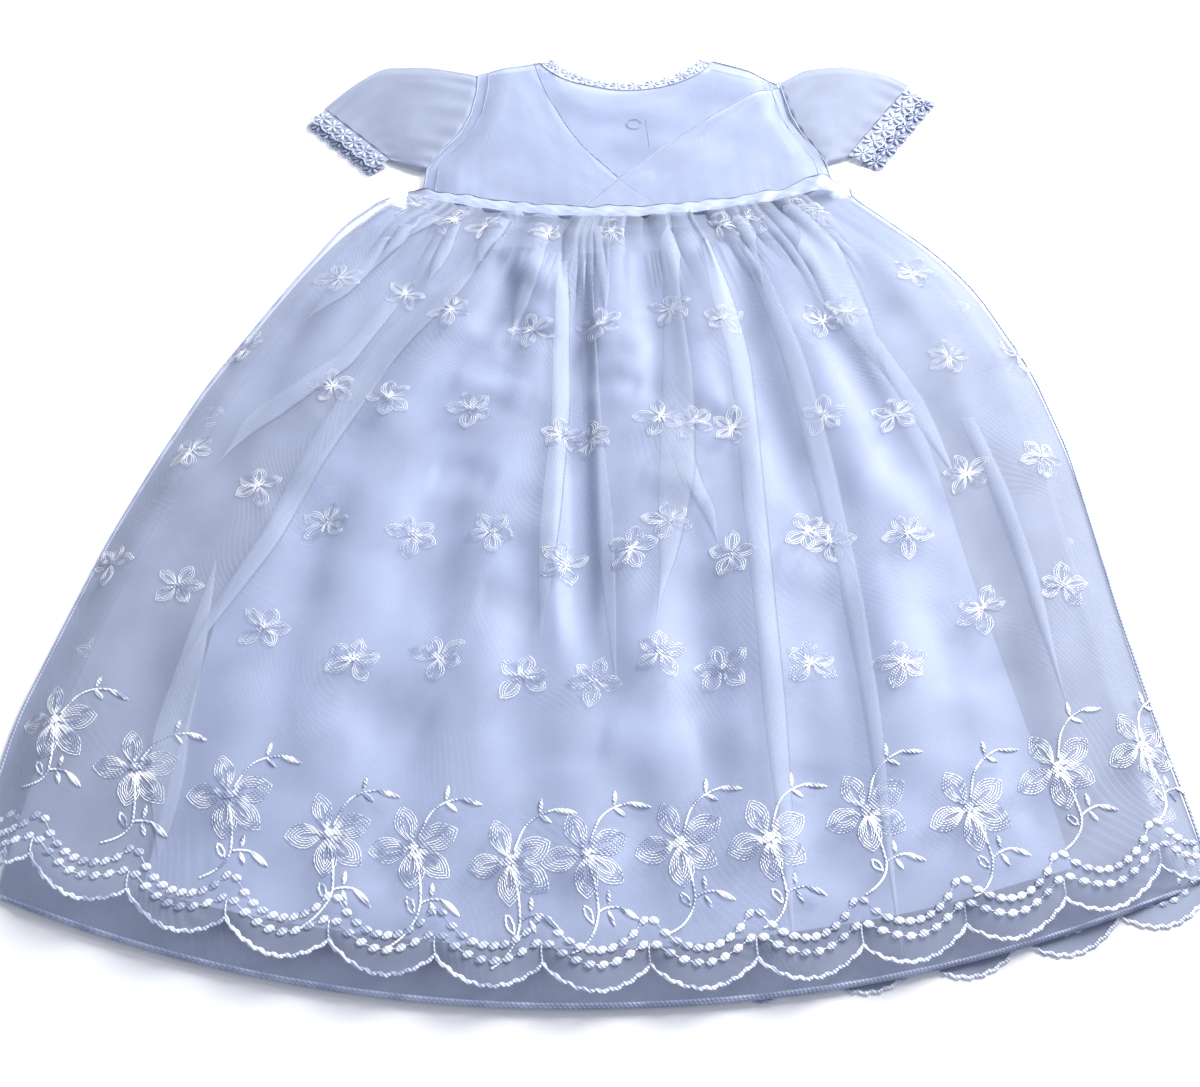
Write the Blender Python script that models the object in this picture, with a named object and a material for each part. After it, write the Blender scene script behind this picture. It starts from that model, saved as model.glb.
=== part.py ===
"""Christening gown laid flat, front side up.

A round-necked bodice of sheer organza with two crossed front panels, short puff sleeves edged with
lace, a ribbon at the waist and a long gathered skirt: embroidered organza with a scalloped hem over
a plain organza petticoat and a satin underskirt. Every panel is a wall of cloth of its own, and the
panels lie on each other as they do when the gown is put down on its back.

Metres, +Z up. The origin is the middle of the waist seam, on the surface. +Y runs to the neck.
"""

import math
from typing import NamedTuple

import bmesh
import bpy
from mathutils import Vector

# Cloth and seams
WALL = 0.0011
SEAM = 0.0004
PLY = WALL + SEAM
ARMHOLE_SEAM = 0.0008
SIDE_ROLL = 0.020
SKIRT_ROLL = 0.022
RIBBON_ROLL = 0.012

# Waist
WAIST_LEFT = -0.119
WAIST_RIGHT = 0.125
WAIST_CURVE = 1.47
WAIST_TILT = 0.035
RIBBON_WIDTH = 0.009
RIBBON_LEFT = -0.128
RIBBON_RIGHT = 0.129
RIBBON_WAVE = 0.0006
RIBBON_WAVES = 9

# Neck and shoulders
NECK_X = 0.003
NECK_HALF = 0.056
NECK_Y = 0.155
FRONT_NECK_DEPTH = 0.031
BACK_NECK_DEPTH = 0.056
FRONT_NECK_POWER = 1.6
SHOULDER_SHARE = 0.2
SHOULDER_LEFT = (-0.0935, 0.146)
SHOULDER_RIGHT = (0.101, 0.137)

# Back placket
PLACKET_LEFT = -0.003
PLACKET_RIGHT = 0.019
PLACKET_STEP = 0.010
LAP_CLEAR = 0.002
LAP_Z = 0.0019
BUTTON_X = 0.007
BUTTON_ROWS = {"button_upper": 0.0895, "button_lower": 0.0355}
BUTTON_RADIUS = 0.005
BUTTON_THICKNESS = 0.0015
BUTTON_SIDES = 16
BUTTON_DISH = 0.0035
BUTTON_DISH_DEPTH = 0.0004
BUTTON_BUMP = 0.0019
BUMP_REACH = 0.024
BUMP_FLAT = 0.011

# Height of each ply's underside: inside, at the side edge and at the waist
BODICE_FRONT_Z = (0.0051, 0.0015)
CROSS_LEFT_Z = (0.0070, 0.0034)
CROSS_RIGHT_Z = (0.0086, 0.0034)
RIBBON_FRONT_Z = (0.0101, 0.0044)
PETTICOAT_BACK_Z = 0.0015
SATIN_BACK_Z = 0.0030
SATIN_FRONT_Z = (0.0062, 0.0045, 0.0062)
PETTICOAT_FRONT_Z = (0.0080, 0.0030, 0.0050)
OVERSKIRT_FRONT_Z = (0.0098, 0.0015, 0.0083)
WAIST_LIFT = 0.032
SEAM_HOLD = 0.020
SHARP_ANGLE = 50
MERGE = 0.00001

# Skirt
HEM_Y = -0.430
HEM_X = -0.025
HEM_CURVE = 0.83
HEM_COLUMNS = 86
SCALLOP_COLUMNS = 7
FIRST_CUSP = 5
SCALLOP_DEPTH = 0.0125
SCALLOP_POWER = 0.8
SCALLOP_FROM = 0.95
BACK_CUSP = 2
BACK_HEM_DROP = 0.010
BACK_HEM_TURN = 0.060
PETTICOAT_HEM_DROP = 0.011
PETTICOAT_BACK_DROP = 0.014
PETTICOAT_INSET = 0.020
SATIN_TOP = -0.032
SATIN_HEM_Y = -0.420
SATIN_BACK_HEM_Y = -0.416
GATHERS = 28
GATHER_COLUMNS = 3
GATHER_HEIGHT = 0.0013
GATHERS_START = (0.012, 0.03)
GATHERS_FADE = (0.10, 0.26)
FOLD_END = 0.2

# Sleeves
SLEEVE_HEIGHT = 0.0046
SLEEVE_CUFF_HEIGHT = 0.0036
SLEEVE_GATHERS = 5
SLEEVE_GATHER_HEIGHT = 0.0010
SLEEVE_GATHERS_START = 0.06
SLEEVE_GATHERS_FADE = (0.1, 0.5)
SLEEVE_AROUND = 28
SLEEVE_FLATNESS = 0.4
SLEEVE_SPREAD = 1.15
UNDERARM = 0.23
SLEEVE_HEAD = 0.985
SLEEVE_FOOT = 0.235

# Lace
SLEEVE_LACE_WIDTH = 0.0100
NECK_LACE_WIDTH = 0.0085
LACE_SCALLOP = 0.0022
SLEEVE_LACE_DAISIES = 6
NECK_LACE_DAISIES = 14
DAISY_COLUMNS = 4
NECK_DAISY_COLUMNS = 3
LACE_ENDS = 0.09
NECK_LACE_ENDS = 0.012
NECK_STEP = 0.004


class Side(NamedTuple):
    """Reach of a panel's two side edges at one level."""

    level: float
    left: float
    right: float


class Swell(NamedTuple):
    """A broad rise shared by the skirt's front plies, by shares across and down the skirt."""

    across_from: float
    across_to: float
    half_width: float
    rise: float
    down_to: float


class Fold(NamedTuple):
    """A fold of the front overskirt, from one place on the panel to another."""

    across_from: float
    across_to: float
    down_from: float
    down_to: float
    half_width: float
    height: float


class SleeveRing(NamedTuple):
    """Top fold and underarm seam of a sleeve at one share of its length."""

    along: float
    top: tuple
    under: tuple


class Finish(NamedTuple):
    """Colour and roughness of a cloth."""

    colour: tuple
    roughness: float


ORGANZA = Finish((0.80, 0.83, 0.93), 0.55)
SATIN = Finish((0.86, 0.88, 0.96), 0.30)
LACE = Finish((0.90, 0.91, 0.95), 0.60)
RIBBON = Finish((0.88, 0.90, 0.97), 0.28)
NYLON = Finish((0.86, 0.87, 0.90), 0.35)

# The bodice's side edges, by share of the height from waist to shoulder
BODICE_SIDES = (
    Side(0.00, WAIST_LEFT, WAIST_RIGHT),
    Side(UNDERARM, -0.1185, 0.1225),
    Side(0.35, -0.1120, 0.1170),
    Side(0.50, -0.1010, 0.1105),
    Side(0.65, -0.0955, 0.1060),
    Side(0.85, -0.0930, 0.1030),
    Side(1.00, SHOULDER_LEFT[0], SHOULDER_RIGHT[0]),
)

# The skirt's side edges, by height on the surface
SKIRT_SIDES = (
    Side(-0.384, -0.2646, 0.2280),
    Side(-0.330, -0.2640, 0.2240),
    Side(-0.270, -0.2540, 0.2215),
    Side(-0.225, -0.2460, 0.2210),
    Side(-0.176, -0.2340, 0.2200),
    Side(-0.122, -0.2180, 0.2130),
    Side(-0.062, -0.1930, 0.1950),
    Side(-0.029, -0.1780, 0.1780),
    Side(0.005, -0.1580, 0.1500),
    Side(0.015, -0.1480, 0.1410),
    Side(0.024, -0.1330, 0.1330),
)
SATIN_SIDES = (
    Side(-0.392, -0.1925, 0.1720),
    Side(-0.342, -0.1910, 0.1680),
    Side(-0.256, -0.1860, 0.1570),
    Side(-0.188, -0.1600, 0.1510),
    Side(-0.126, -0.1300, 0.1430),
    Side(-0.080, -0.1040, 0.1160),
    Side(-0.030, -0.0770, 0.0850),
)

SWELLS = (
    Swell(0.20, 0.17, 0.09, 0.55, 0.88),
    Swell(0.33, 0.31, 0.10, 0.80, 1.20),
    Swell(0.43, 0.42, 0.08, 1.00, 0.66),
    Swell(0.56, 0.58, 0.10, 0.90, 1.20),
    Swell(0.69, 0.70, 0.09, 0.75, 0.82),
    Swell(0.82, 0.84, 0.09, 0.55, 1.20),
)
SWELL_FROM = 0.10
SWELL_EASE = 0.20
SWELL_SATIN = 0.0017
SWELL_PETTICOAT = 0.0026
SWELL_OVERSKIRT = 0.0035

FOLDS = (
    Fold(0.135, 0.062, 0.03, 0.35, 0.020, 0.0018),
    Fold(0.165, 0.070, 0.18, 0.55, 0.020, 0.0018),
    Fold(0.268, 0.122, 0.04, 0.88, 0.020, 0.0022),
    Fold(0.118, 0.112, 0.76, 1.00, 0.020, 0.0016),
    Fold(0.330, 0.300, 0.03, 0.48, 0.020, 0.0016),
    Fold(0.375, 0.372, 0.02, 0.42, 0.018, 0.0016),
    Fold(0.418, 0.452, 0.12, 0.74, 0.018, 0.0020),
    Fold(0.452, 0.515, 0.36, 0.86, 0.018, 0.0016),
    Fold(0.490, 0.500, 0.02, 0.34, 0.018, 0.0014),
    Fold(0.575, 0.552, 0.05, 0.54, 0.018, 0.0020),
    Fold(0.550, 0.556, 0.46, 0.82, 0.018, 0.0016),
    Fold(0.612, 0.652, 0.08, 1.00, 0.018, 0.0022),
    Fold(0.672, 0.736, 0.14, 1.00, 0.020, 0.0022),
    Fold(0.730, 0.790, 0.03, 0.44, 0.018, 0.0016),
    Fold(0.850, 0.800, 0.02, 0.36, 0.020, 0.0018),
    Fold(0.800, 0.868, 0.24, 0.62, 0.018, 0.0016),
    Fold(0.905, 0.835, 0.02, 0.36, 0.020, 0.0018),
    Fold(0.885, 0.922, 0.38, 0.94, 0.020, 0.0020),
)

# The crossed panels' front edges: waist end, pull and shoulder end of a curve
CROSS_LEFT_EDGE = ((0.034, 0.0020), (-0.032, 0.0470), (-0.057, 0.1510))
CROSS_RIGHT_EDGE = ((-0.027, 0.0014), (0.027, 0.0760), (0.0965, 0.1255))
CROSS_RIGHT_TOP = 0.93

SLEEVES = {
    "left": (
        SleeveRing(0.00, SHOULDER_LEFT, (-0.1185, 0.0460)),
        SleeveRing(0.33, (-0.127, 0.1535), (-0.1235, 0.0480)),
        SleeveRing(0.66, (-0.157, 0.1530), (-0.1300, 0.0510)),
        SleeveRing(0.85, (-0.176, 0.1320), (-0.1350, 0.0535)),
        SleeveRing(1.00, (-0.191, 0.1070), (-0.1410, 0.0565)),
    ),
    "right": (
        SleeveRing(0.00, SHOULDER_RIGHT, (0.1225, 0.0520)),
        SleeveRing(0.30, (0.120, 0.1510), (0.1240, 0.0540)),
        SleeveRing(0.60, (0.147, 0.1550), (0.1270, 0.0560)),
        SleeveRing(0.85, (0.173, 0.1460), (0.1310, 0.0580)),
        SleeveRing(1.00, (0.187, 0.1330), (0.1360, 0.0595)),
    ),
}
CUFF_SLIP = {"left": (-0.002, -0.006), "right": (0.0085, -0.007)}
OUTWARD = {"left": -1.0, "right": 1.0}

SLEEVE_STOPS = (0.0, 0.08, 0.22, 0.42, 0.66, 0.85, 1.0)
BODICE_STOPS = (0.0, 0.11, UNDERARM, 0.35, 0.50, 0.65, 0.85, 1.0)
BACK_STOPS = (0.0, 0.08, 0.16, UNDERARM, 0.35, 0.50, 0.65, 0.76, 0.85, 0.93, 1.0)
ROLL_STOPS = (0.0, 0.1, 0.21, 0.33, 0.48, 0.7)
SIDE_SHARE = 0.18
CROSS_SIDE_COLUMNS = 5
CROSS_COLUMNS = 7
SHOULDER_COLUMNS = 4
NECK_COLUMNS = 10
OVERSKIRT_STOPS = (0.0, 0.012, 0.05, 0.12, 0.21, 0.33, 0.48, 0.65, 0.82, 0.95, 1.0)
BACK_OVERSKIRT_STOPS = (0.0, 0.03, 0.10, 0.25, 0.50, 0.75, 0.95, 1.0)
INNER_STOPS = (0.0, 0.03, 0.08, 0.15, 0.25, 0.37, 0.51, 0.67, 0.84, 1.0)
INNER_BACK_STOPS = (0.0, 0.08, 0.20, 0.35, 0.50, 0.70, 0.85, 1.0)
INNER_COLUMNS = 30
INNER_BACK_COLUMNS = 24
RIBBON_COLUMNS = 40
RIBBON_BACK_COLUMNS = 20
SIDE_PACKING = 0.09


def blend(start, end, share):
    """Value a share of the way from start to end."""
    return start + (end - start) * share


def blend_points(start, end, share):
    """Point a share of the way from one point to another."""
    return tuple(blend(a, b, share) for a, b in zip(start, end))


def ease(share):
    """Soft step from 0 to 1."""
    share = min(max(share, 0.0), 1.0)
    return share * share * (3.0 - 2.0 * share)


def hump(distance):
    """Soft ridge: 1 in its middle and 0 from a distance of 1."""
    return 0.5 + 0.5 * math.cos(math.pi * min(1.0, abs(distance)))


def even(count):
    """Evenly spaced stops from 0 to 1."""
    return tuple(i / count for i in range(count + 1))


def packed_at_sides(count):
    """Stops from 0 to 1 that lie closer at both ends."""
    return tuple(f - SIDE_PACKING * math.sin(2 * math.pi * f) for f in even(count))


def cornered(corner, before, after):
    """Stops from 0 to 1 with one of them on a corner."""
    first = tuple(corner * f for f in even(before))
    return first + tuple(blend(corner, 1.0, f) for f in even(after))[1:]


def read(rows, level, column):
    """One column of a table at a level between its rows."""
    rows = sorted(rows)
    level = min(max(level, rows[0][0]), rows[-1][0])
    for low, high in zip(rows, rows[1:]):
        if level <= high[0]:
            share = (level - low[0]) / (high[0] - low[0])
            start, end = getattr(low, column), getattr(high, column)
            if isinstance(start, tuple):
                return blend_points(start, end, share)
            return blend(start, end, share)
    return getattr(rows[-1], column)


def waist(x):
    """Height of the waist seam on the surface."""
    return WAIST_CURVE * x * x + WAIST_TILT * x


def hem(x, middle):
    """Height of a hem that is lowest at its middle."""
    return middle + HEM_CURVE * (x - HEM_X) ** 2


def material(name, finish):
    """Principled material of one sub-part."""
    made = bpy.data.materials.new(name)
    made.use_nodes = True
    shader = made.node_tree.nodes["Principled BSDF"]
    shader.inputs["Base Color"].default_value = (*finish.colour, 1.0)
    shader.inputs["Roughness"].default_value = finish.roughness
    shader.inputs["Metallic"].default_value = 0.0
    return made


def add_object(name, bm, finish, gown):
    """Turns a bmesh into a smooth named object under the gown's empty."""
    mesh = bpy.data.meshes.new(name)
    bm.to_mesh(mesh)
    bm.free()
    mesh.shade_smooth()
    mesh.set_sharp_from_angle(angle=math.radians(SHARP_ANGLE))
    mesh.materials.append(material(name, finish))
    obj = bpy.data.objects.new(name, mesh)
    obj.parent = gown
    bpy.context.scene.collection.objects.link(obj)
    return obj


def add_wall(obj, side):
    """Gives a surface its wall, above it at side 1 and inside it at side -1."""
    wall = obj.modifiers.new("wall", "SOLIDIFY")
    wall.thickness = WALL
    wall.offset = side
    wall.use_even_offset = side > 0


def panel(name, finish, place, across, down, gown):
    """A panel of cloth whose underside is place(across, down), with down 0 at its top edge."""
    bm = bmesh.new()
    bmesh.ops.create_grid(bm, x_segments=len(across) - 1, y_segments=len(down) - 1, size=0.5)
    for vert in bm.verts:
        column = round((vert.co.x + 0.5) * (len(across) - 1))
        row = round((0.5 - vert.co.y) * (len(down) - 1))
        vert.co = place(across[column], down[row])
    obj = add_object(name, bm, finish, gown)
    add_wall(obj, 1.0)
    return obj


def tube(name, finish, place, around, along, gown):
    """An open tube of cloth whose outside is place(turn, along), with its wall inside."""
    bm = bmesh.new()
    bmesh.ops.create_grid(bm, x_segments=around, y_segments=len(along) - 1, size=0.5)
    for vert in bm.verts:
        column = round((vert.co.x + 0.5) * around) % around
        row = round((vert.co.y + 0.5) * (len(along) - 1))
        vert.co = place(column / around, along[row])
    bmesh.ops.remove_doubles(bm, verts=bm.verts, dist=MERGE)
    bm.normal_update()
    highest = max(bm.faces, key=lambda face: face.calc_center_median().z)
    if highest.normal.z < 0:
        bmesh.ops.reverse_faces(bm, faces=bm.faces)
    obj = add_object(name, bm, finish, gown)
    add_wall(obj, -1.0)
    return obj


def top_path(share, depth, power):
    """Top edge of the bodice: left shoulder, round neck and right shoulder."""
    neck_left = (NECK_X - NECK_HALF, NECK_Y)
    neck_right = (NECK_X + NECK_HALF, NECK_Y)
    if share < SHOULDER_SHARE:
        return blend_points(SHOULDER_LEFT, neck_left, share / SHOULDER_SHARE)
    if share > 1 - SHOULDER_SHARE:
        return blend_points(SHOULDER_RIGHT, neck_right, (1 - share) / SHOULDER_SHARE)
    angle = math.pi * (share - SHOULDER_SHARE) / (1 - 2 * SHOULDER_SHARE)
    drop = depth * max(math.sin(angle), 0.0) ** power
    return (NECK_X - NECK_HALF * math.cos(angle), NECK_Y - drop)


def neck_share(x):
    """Share of the top edge at which the neckline passes x."""
    angle = math.acos((NECK_X - x) / NECK_HALF)
    return SHOULDER_SHARE + (1 - 2 * SHOULDER_SHARE) * angle / math.pi


def bodice_side(side, share):
    """Side seam and armhole of the bodice: share 0 at the waist and 1 at the shoulder."""
    corner = WAIST_LEFT if side == "left" else WAIST_RIGHT
    shoulder = SHOULDER_LEFT if side == "left" else SHOULDER_RIGHT
    return (read(BODICE_SIDES, share, side), blend(waist(corner), shoulder[1], share))


def side_pull(side, share):
    """How far the side edge lies from the straight line between its two ends."""
    straight = blend(bodice_side(side, 0.0)[0], bodice_side(side, 1.0)[0], share)
    return bodice_side(side, share)[0] - straight


def bodice_rise(x, share, plies):
    """Height of a bodice ply: low at the sides, where the seams are, and full inside."""
    inside, at_side = plies
    gap = min(x - bodice_side("left", share)[0], bodice_side("right", share)[0] - x)
    return blend(at_side, inside, ease(gap / SIDE_ROLL))


def bodice_panel_point(across, up, span, bottom, depth, power):
    """Place on the surface of a point of a panel between a stretch of the waist and of the top."""
    top_x, top_y = top_path(blend(span[0], span[1], across), depth, power)
    bottom_x = blend(bottom[0], bottom[1], across)
    x = blend(bottom_x, top_x, up)
    if bottom[0] == WAIST_LEFT:
        x += side_pull("left", up) * (1 - across) ** 2
    if bottom[1] == WAIST_RIGHT:
        x += side_pull("right", up) * across ** 2
    return x, blend(waist(bottom_x) + SEAM / 2, top_y, up)


def button_bump(x, y):
    """Rise of the back plies over the buttons that they lie on."""
    near = min(math.hypot(x - BUTTON_X, y - row) for row in BUTTON_ROWS.values())
    return BUTTON_BUMP * ease((BUMP_REACH - near) / (BUMP_REACH - BUMP_FLAT))


def lap_height(x):
    """Height of the right back's underside, which rises where it laps the left back."""
    return LAP_Z * (1 - ease((x - PLACKET_RIGHT - LAP_CLEAR) / PLACKET_STEP))


def above_ribbon(down):
    """Lift of the backs' lower rows, so that they end above the back ribbon."""
    return (RIBBON_WIDTH / 2 + SEAM) * ease((down - 1 + UNDERARM) / UNDERARM)


def quadratic(ends, share):
    """Point of a curve given by its start, its pull and its end."""
    start, pull, end = ends
    return blend_points(blend_points(start, pull, share), blend_points(pull, end, share), share)


def make_bodice(gown):
    """Front, crossed panels, and the two backs that lap at the placket."""

    def front(across, down):
        x, y = bodice_panel_point(across, 1 - down, (0, 1), (WAIST_LEFT, WAIST_RIGHT),
                                  FRONT_NECK_DEPTH, FRONT_NECK_POWER)
        return Vector((x, y, bodice_rise(x, 1 - down, BODICE_FRONT_Z)))

    def cross(side, edge, top, plies):
        def place(across, down):
            up = 1 - down
            seam = bodice_side(side, up * top)
            inner = quadratic(edge, up)
            share = across if side == "left" else 1 - across
            x, y = blend_points(seam, inner, share)
            sag = waist(x) - blend(waist(seam[0]), waist(edge[0][0]), share)
            y += max(sag, -y) * (1 - up) ** 3 + SEAM / 2
            return Vector((x, y, bodice_rise(x, up * top, plies)))
        return place

    def back_left(across, down):
        span = (0, neck_share(PLACKET_RIGHT))
        x, y = bodice_panel_point(across, 1 - down, span, (WAIST_LEFT, PLACKET_RIGHT),
                                  BACK_NECK_DEPTH, 1.0)
        y += above_ribbon(down)
        return Vector((x, y, button_bump(x, y)))

    def back_right(across, down):
        span = (neck_share(PLACKET_LEFT), 1)
        x, y = bodice_panel_point(across, 1 - down, span, (PLACKET_LEFT, WAIST_RIGHT),
                                  BACK_NECK_DEPTH, 1.0)
        y += above_ribbon(down)
        return Vector((x, y, lap_height(x) + button_bump(x, y)))

    stops = tuple(1 - up for up in reversed(BODICE_STOPS))
    back_stops = tuple(1 - up for up in reversed(BACK_STOPS))
    left = cross("left", CROSS_LEFT_EDGE, 1.0, CROSS_LEFT_Z)
    right = cross("right", CROSS_RIGHT_EDGE, CROSS_RIGHT_TOP, CROSS_RIGHT_Z)
    shoulder = tuple(SHOULDER_SHARE * f for f in ROLL_STOPS)
    neck = tuple(blend(SHOULDER_SHARE, 1 - SHOULDER_SHARE, f) for f in even(NECK_COLUMNS + 2))
    front_across = shoulder + neck + tuple(1 - f for f in reversed(shoulder))
    panel("bodice_front", ORGANZA, front, front_across, stops, gown)
    left_columns = cornered(SIDE_SHARE, CROSS_SIDE_COLUMNS, CROSS_COLUMNS)
    right_columns = tuple(1 - f for f in reversed(left_columns))
    panel("bodice_cross_left", ORGANZA, left, left_columns, stops, gown)
    panel("bodice_cross_right", ORGANZA, right, right_columns, stops, gown)
    left_corner = SHOULDER_SHARE / neck_share(PLACKET_RIGHT)
    right_corner = 1 - SHOULDER_SHARE / (1 - neck_share(PLACKET_LEFT))
    left_across = cornered(left_corner, SHOULDER_COLUMNS, NECK_COLUMNS)
    right_across = cornered(right_corner, NECK_COLUMNS, SHOULDER_COLUMNS)
    panel("bodice_back_left", ORGANZA, back_left, left_across, back_stops, gown)
    panel("bodice_back_right", ORGANZA, back_right, right_across, back_stops, gown)


def make_buttons(gown):
    """Two round buttons with a dished face, flat on the surface under the back placket."""
    for name, row in BUTTON_ROWS.items():
        bm = bmesh.new()
        bmesh.ops.create_cone(bm, cap_ends=True, segments=BUTTON_SIDES, radius1=BUTTON_RADIUS,
                              radius2=BUTTON_RADIUS, depth=BUTTON_THICKNESS)
        caps = [face for face in bm.faces if abs(face.normal.z) > 0.5]
        for face in caps:
            side = 1.0 if face.normal.z > 0 else -1.0
            bmesh.ops.inset_region(bm, faces=[face], thickness=BUTTON_RADIUS - BUTTON_DISH)
            bmesh.ops.translate(bm, verts=face.verts, vec=(0, 0, -side * BUTTON_DISH_DEPTH))
        button = add_object(name, bm, NYLON, gown)
        button.location = (BUTTON_X, row, BUTTON_THICKNESS / 2)


def sleeve_line(side, along, down_arm):
    """Place on the surface at a share of the sleeve's length, from top fold to underarm seam."""
    rings = SLEEVES[side]
    x, y = blend_points(read(rings, along, "top"), read(rings, along, "under"), down_arm)
    start = blend_points(rings[0].top, rings[0].under, down_arm)
    seam = bodice_side(side, blend(SLEEVE_HEAD, SLEEVE_FOOT, down_arm))
    fade = (1 - along) ** 2
    seam_x = seam[0] + OUTWARD[side] * ARMHOLE_SEAM
    return x + (seam_x - start[0]) * fade, y + (seam[1] - start[1]) * fade


def sleeve_point(side, along, angle):
    """Place on the surface of a sleeve point, whose front and back plies slip apart at the cuff."""
    x, y = sleeve_line(side, along, 0.5 - 0.5 * math.cos(angle))
    bow = abs(math.sin(angle)) ** SLEEVE_FLATNESS
    slip = -math.sin(angle) * abs(math.sin(angle)) * ease(along)
    return x + CUFF_SLIP[side][0] * slip, y + CUFF_SLIP[side][1] * slip, bow


def sleeve_surface(side, turn, along):
    """Outside of a sleeve that lies flat: a low ring with its back on the surface."""
    angle = 2 * math.pi * turn
    x, y, bow = sleeve_point(side, along, angle)
    half = blend(SLEEVE_HEIGHT, SLEEVE_CUFF_HEIGHT, along) / 2
    if math.sin(angle) > 0:
        gather = 0.5 - 0.5 * math.cos(2 * math.pi * SLEEVE_GATHERS * angle / math.pi)
        grown = ease(along / SLEEVE_GATHERS_START)
        faded = ease((along - SLEEVE_GATHERS_FADE[0]) / SLEEVE_GATHERS_FADE[1])
        z = half * (1 + bow) + SLEEVE_GATHER_HEIGHT * gather * grown * (1 - faded) * bow
    else:
        z = max(half * (1 - SLEEVE_SPREAD * bow), 0.0)
    return Vector((x, y, z))


def scalloped(share, daisies, width):
    """Width of a lace edge that bulges once for each of its daisies."""
    wave = abs(math.sin(math.pi * daisies * share))
    return width - LACE_SCALLOP * (1 - wave)


def make_sleeves(gown):
    """Two gathered sleeves, each with a lace edge on its front and on its back."""

    def cuff_lace(side, face, low, high):
        def place(across, down):
            share = across if side == "right" else 1 - across
            angle = math.acos(1 - 2 * blend(1 - LACE_ENDS, LACE_ENDS, share))
            x, y, _ = sleeve_point(side, 1.0, face * angle)
            top, under = (read(SLEEVES[side], 1.0, end) for end in ("top", "under"))
            run = Vector((under[0] - top[0], under[1] - top[1])).normalized()
            out = Vector((-run.y, run.x)) * OUTWARD[side]
            width = scalloped(share, SLEEVE_LACE_DAISIES, SLEEVE_LACE_WIDTH)
            reach = blend(SEAM * 2, width, down)
            return Vector((x + out.x * reach, y + out.y * reach, blend(low, high, down)))
        return place

    columns = even(SLEEVE_LACE_DAISIES * DAISY_COLUMNS)
    front_z = SLEEVE_CUFF_HEIGHT - WALL
    for side in ("left", "right"):
        tube(f"sleeve_{side}", ORGANZA, lambda turn, along: sleeve_surface(side, turn, along),
             SLEEVE_AROUND, SLEEVE_STOPS, gown)
        front = cuff_lace(side, 1.0, front_z, PLY)
        back = cuff_lace(side, -1.0, 0.0, 0.0)
        panel(f"sleeve_lace_{side}_front", LACE, front, columns, even(2), gown)
        panel(f"sleeve_lace_{side}_back", LACE, back, columns, even(1), gown)


def make_neck_lace(gown):
    """Lace standing in the neck opening, on the front's edge and on each back's edge."""

    def edging(first, last, depth, power, daisies, height):
        def place(across, down):
            share = blend(first, last, across)
            x, y = top_path(share, depth, power)
            before = Vector(top_path(max(share - NECK_STEP, SHOULDER_SHARE), depth, power))
            after = Vector(top_path(min(share + NECK_STEP, 1 - SHOULDER_SHARE), depth, power))
            run = (after - before).normalized()
            reach = blend(scalloped(across, daisies, NECK_LACE_WIDTH), SEAM * 1.5, down)
            place_x = x - run.y * reach
            return Vector((place_x, y + run.x * reach, height(place_x)))
        return place

    start = SHOULDER_SHARE + NECK_LACE_ENDS
    end = 1 - start
    front_daisies = NECK_LACE_DAISIES
    back_daisies = NECK_LACE_DAISIES // 2
    front = edging(start, end, FRONT_NECK_DEPTH, FRONT_NECK_POWER, front_daisies,
                   lambda x: BODICE_FRONT_Z[0])
    left = edging(start, neck_share(PLACKET_RIGHT), BACK_NECK_DEPTH, 1.0, back_daisies,
                  lambda x: 0.0)
    right = edging(neck_share(PLACKET_LEFT), end, BACK_NECK_DEPTH, 1.0, back_daisies, lap_height)
    panel("neck_lace_front", LACE, front, even(front_daisies * NECK_DAISY_COLUMNS), even(1), gown)
    panel("neck_lace_back_left", LACE, left, even(back_daisies * NECK_DAISY_COLUMNS), even(1), gown)
    panel("neck_lace_back_right", LACE, right, even(back_daisies * NECK_DAISY_COLUMNS), even(1), gown)


def make_ribbon(gown):
    """Satin ribbon over the waist seam, and its back run set level with the backs."""

    def front(across, down):
        x = blend(RIBBON_LEFT, RIBBON_RIGHT, across)
        inside, at_side = RIBBON_FRONT_Z
        wave = RIBBON_WAVE * math.sin(2 * math.pi * RIBBON_WAVES * across)
        y = waist(x) + blend(RIBBON_WIDTH / 2 + wave, -RIBBON_WIDTH / 2, down)
        end = min(x - RIBBON_LEFT, RIBBON_RIGHT - x)
        return Vector((x, y, blend(at_side, inside, ease(end / RIBBON_ROLL))))

    def back(across, down):
        x = blend(RIBBON_LEFT, RIBBON_RIGHT, across)
        return Vector((x, waist(x) + RIBBON_WIDTH * (0.5 - down), 0.0))

    panel("waist_ribbon_front", RIBBON, front, packed_at_sides(RIBBON_COLUMNS), even(1), gown)
    panel("waist_ribbon_back", RIBBON, back, even(RIBBON_BACK_COLUMNS), even(1), gown)


def swell(x, y):
    """Broad rise of the front plies at a place on the surface, from 0 to 1."""
    down = (waist(x) - y) / (waist(x) - hem(x, HEM_Y))
    level = blend(SKIRT_SIDES[-1].level, SKIRT_SIDES[0].level, min(down, 1.0))
    left, right = read(SKIRT_SIDES, level, "left"), read(SKIRT_SIDES, level, "right")
    across = (x - left) / (right - left)
    rise = 0.0
    for row in SWELLS:
        ends = ease((down - SWELL_FROM) / SWELL_EASE) * ease((row.down_to - down) / SWELL_EASE)
        middle = blend(row.across_from, row.across_to, down)
        rise = max(rise, row.rise * hump((across - middle) / row.half_width) * ends)
    return rise


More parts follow.
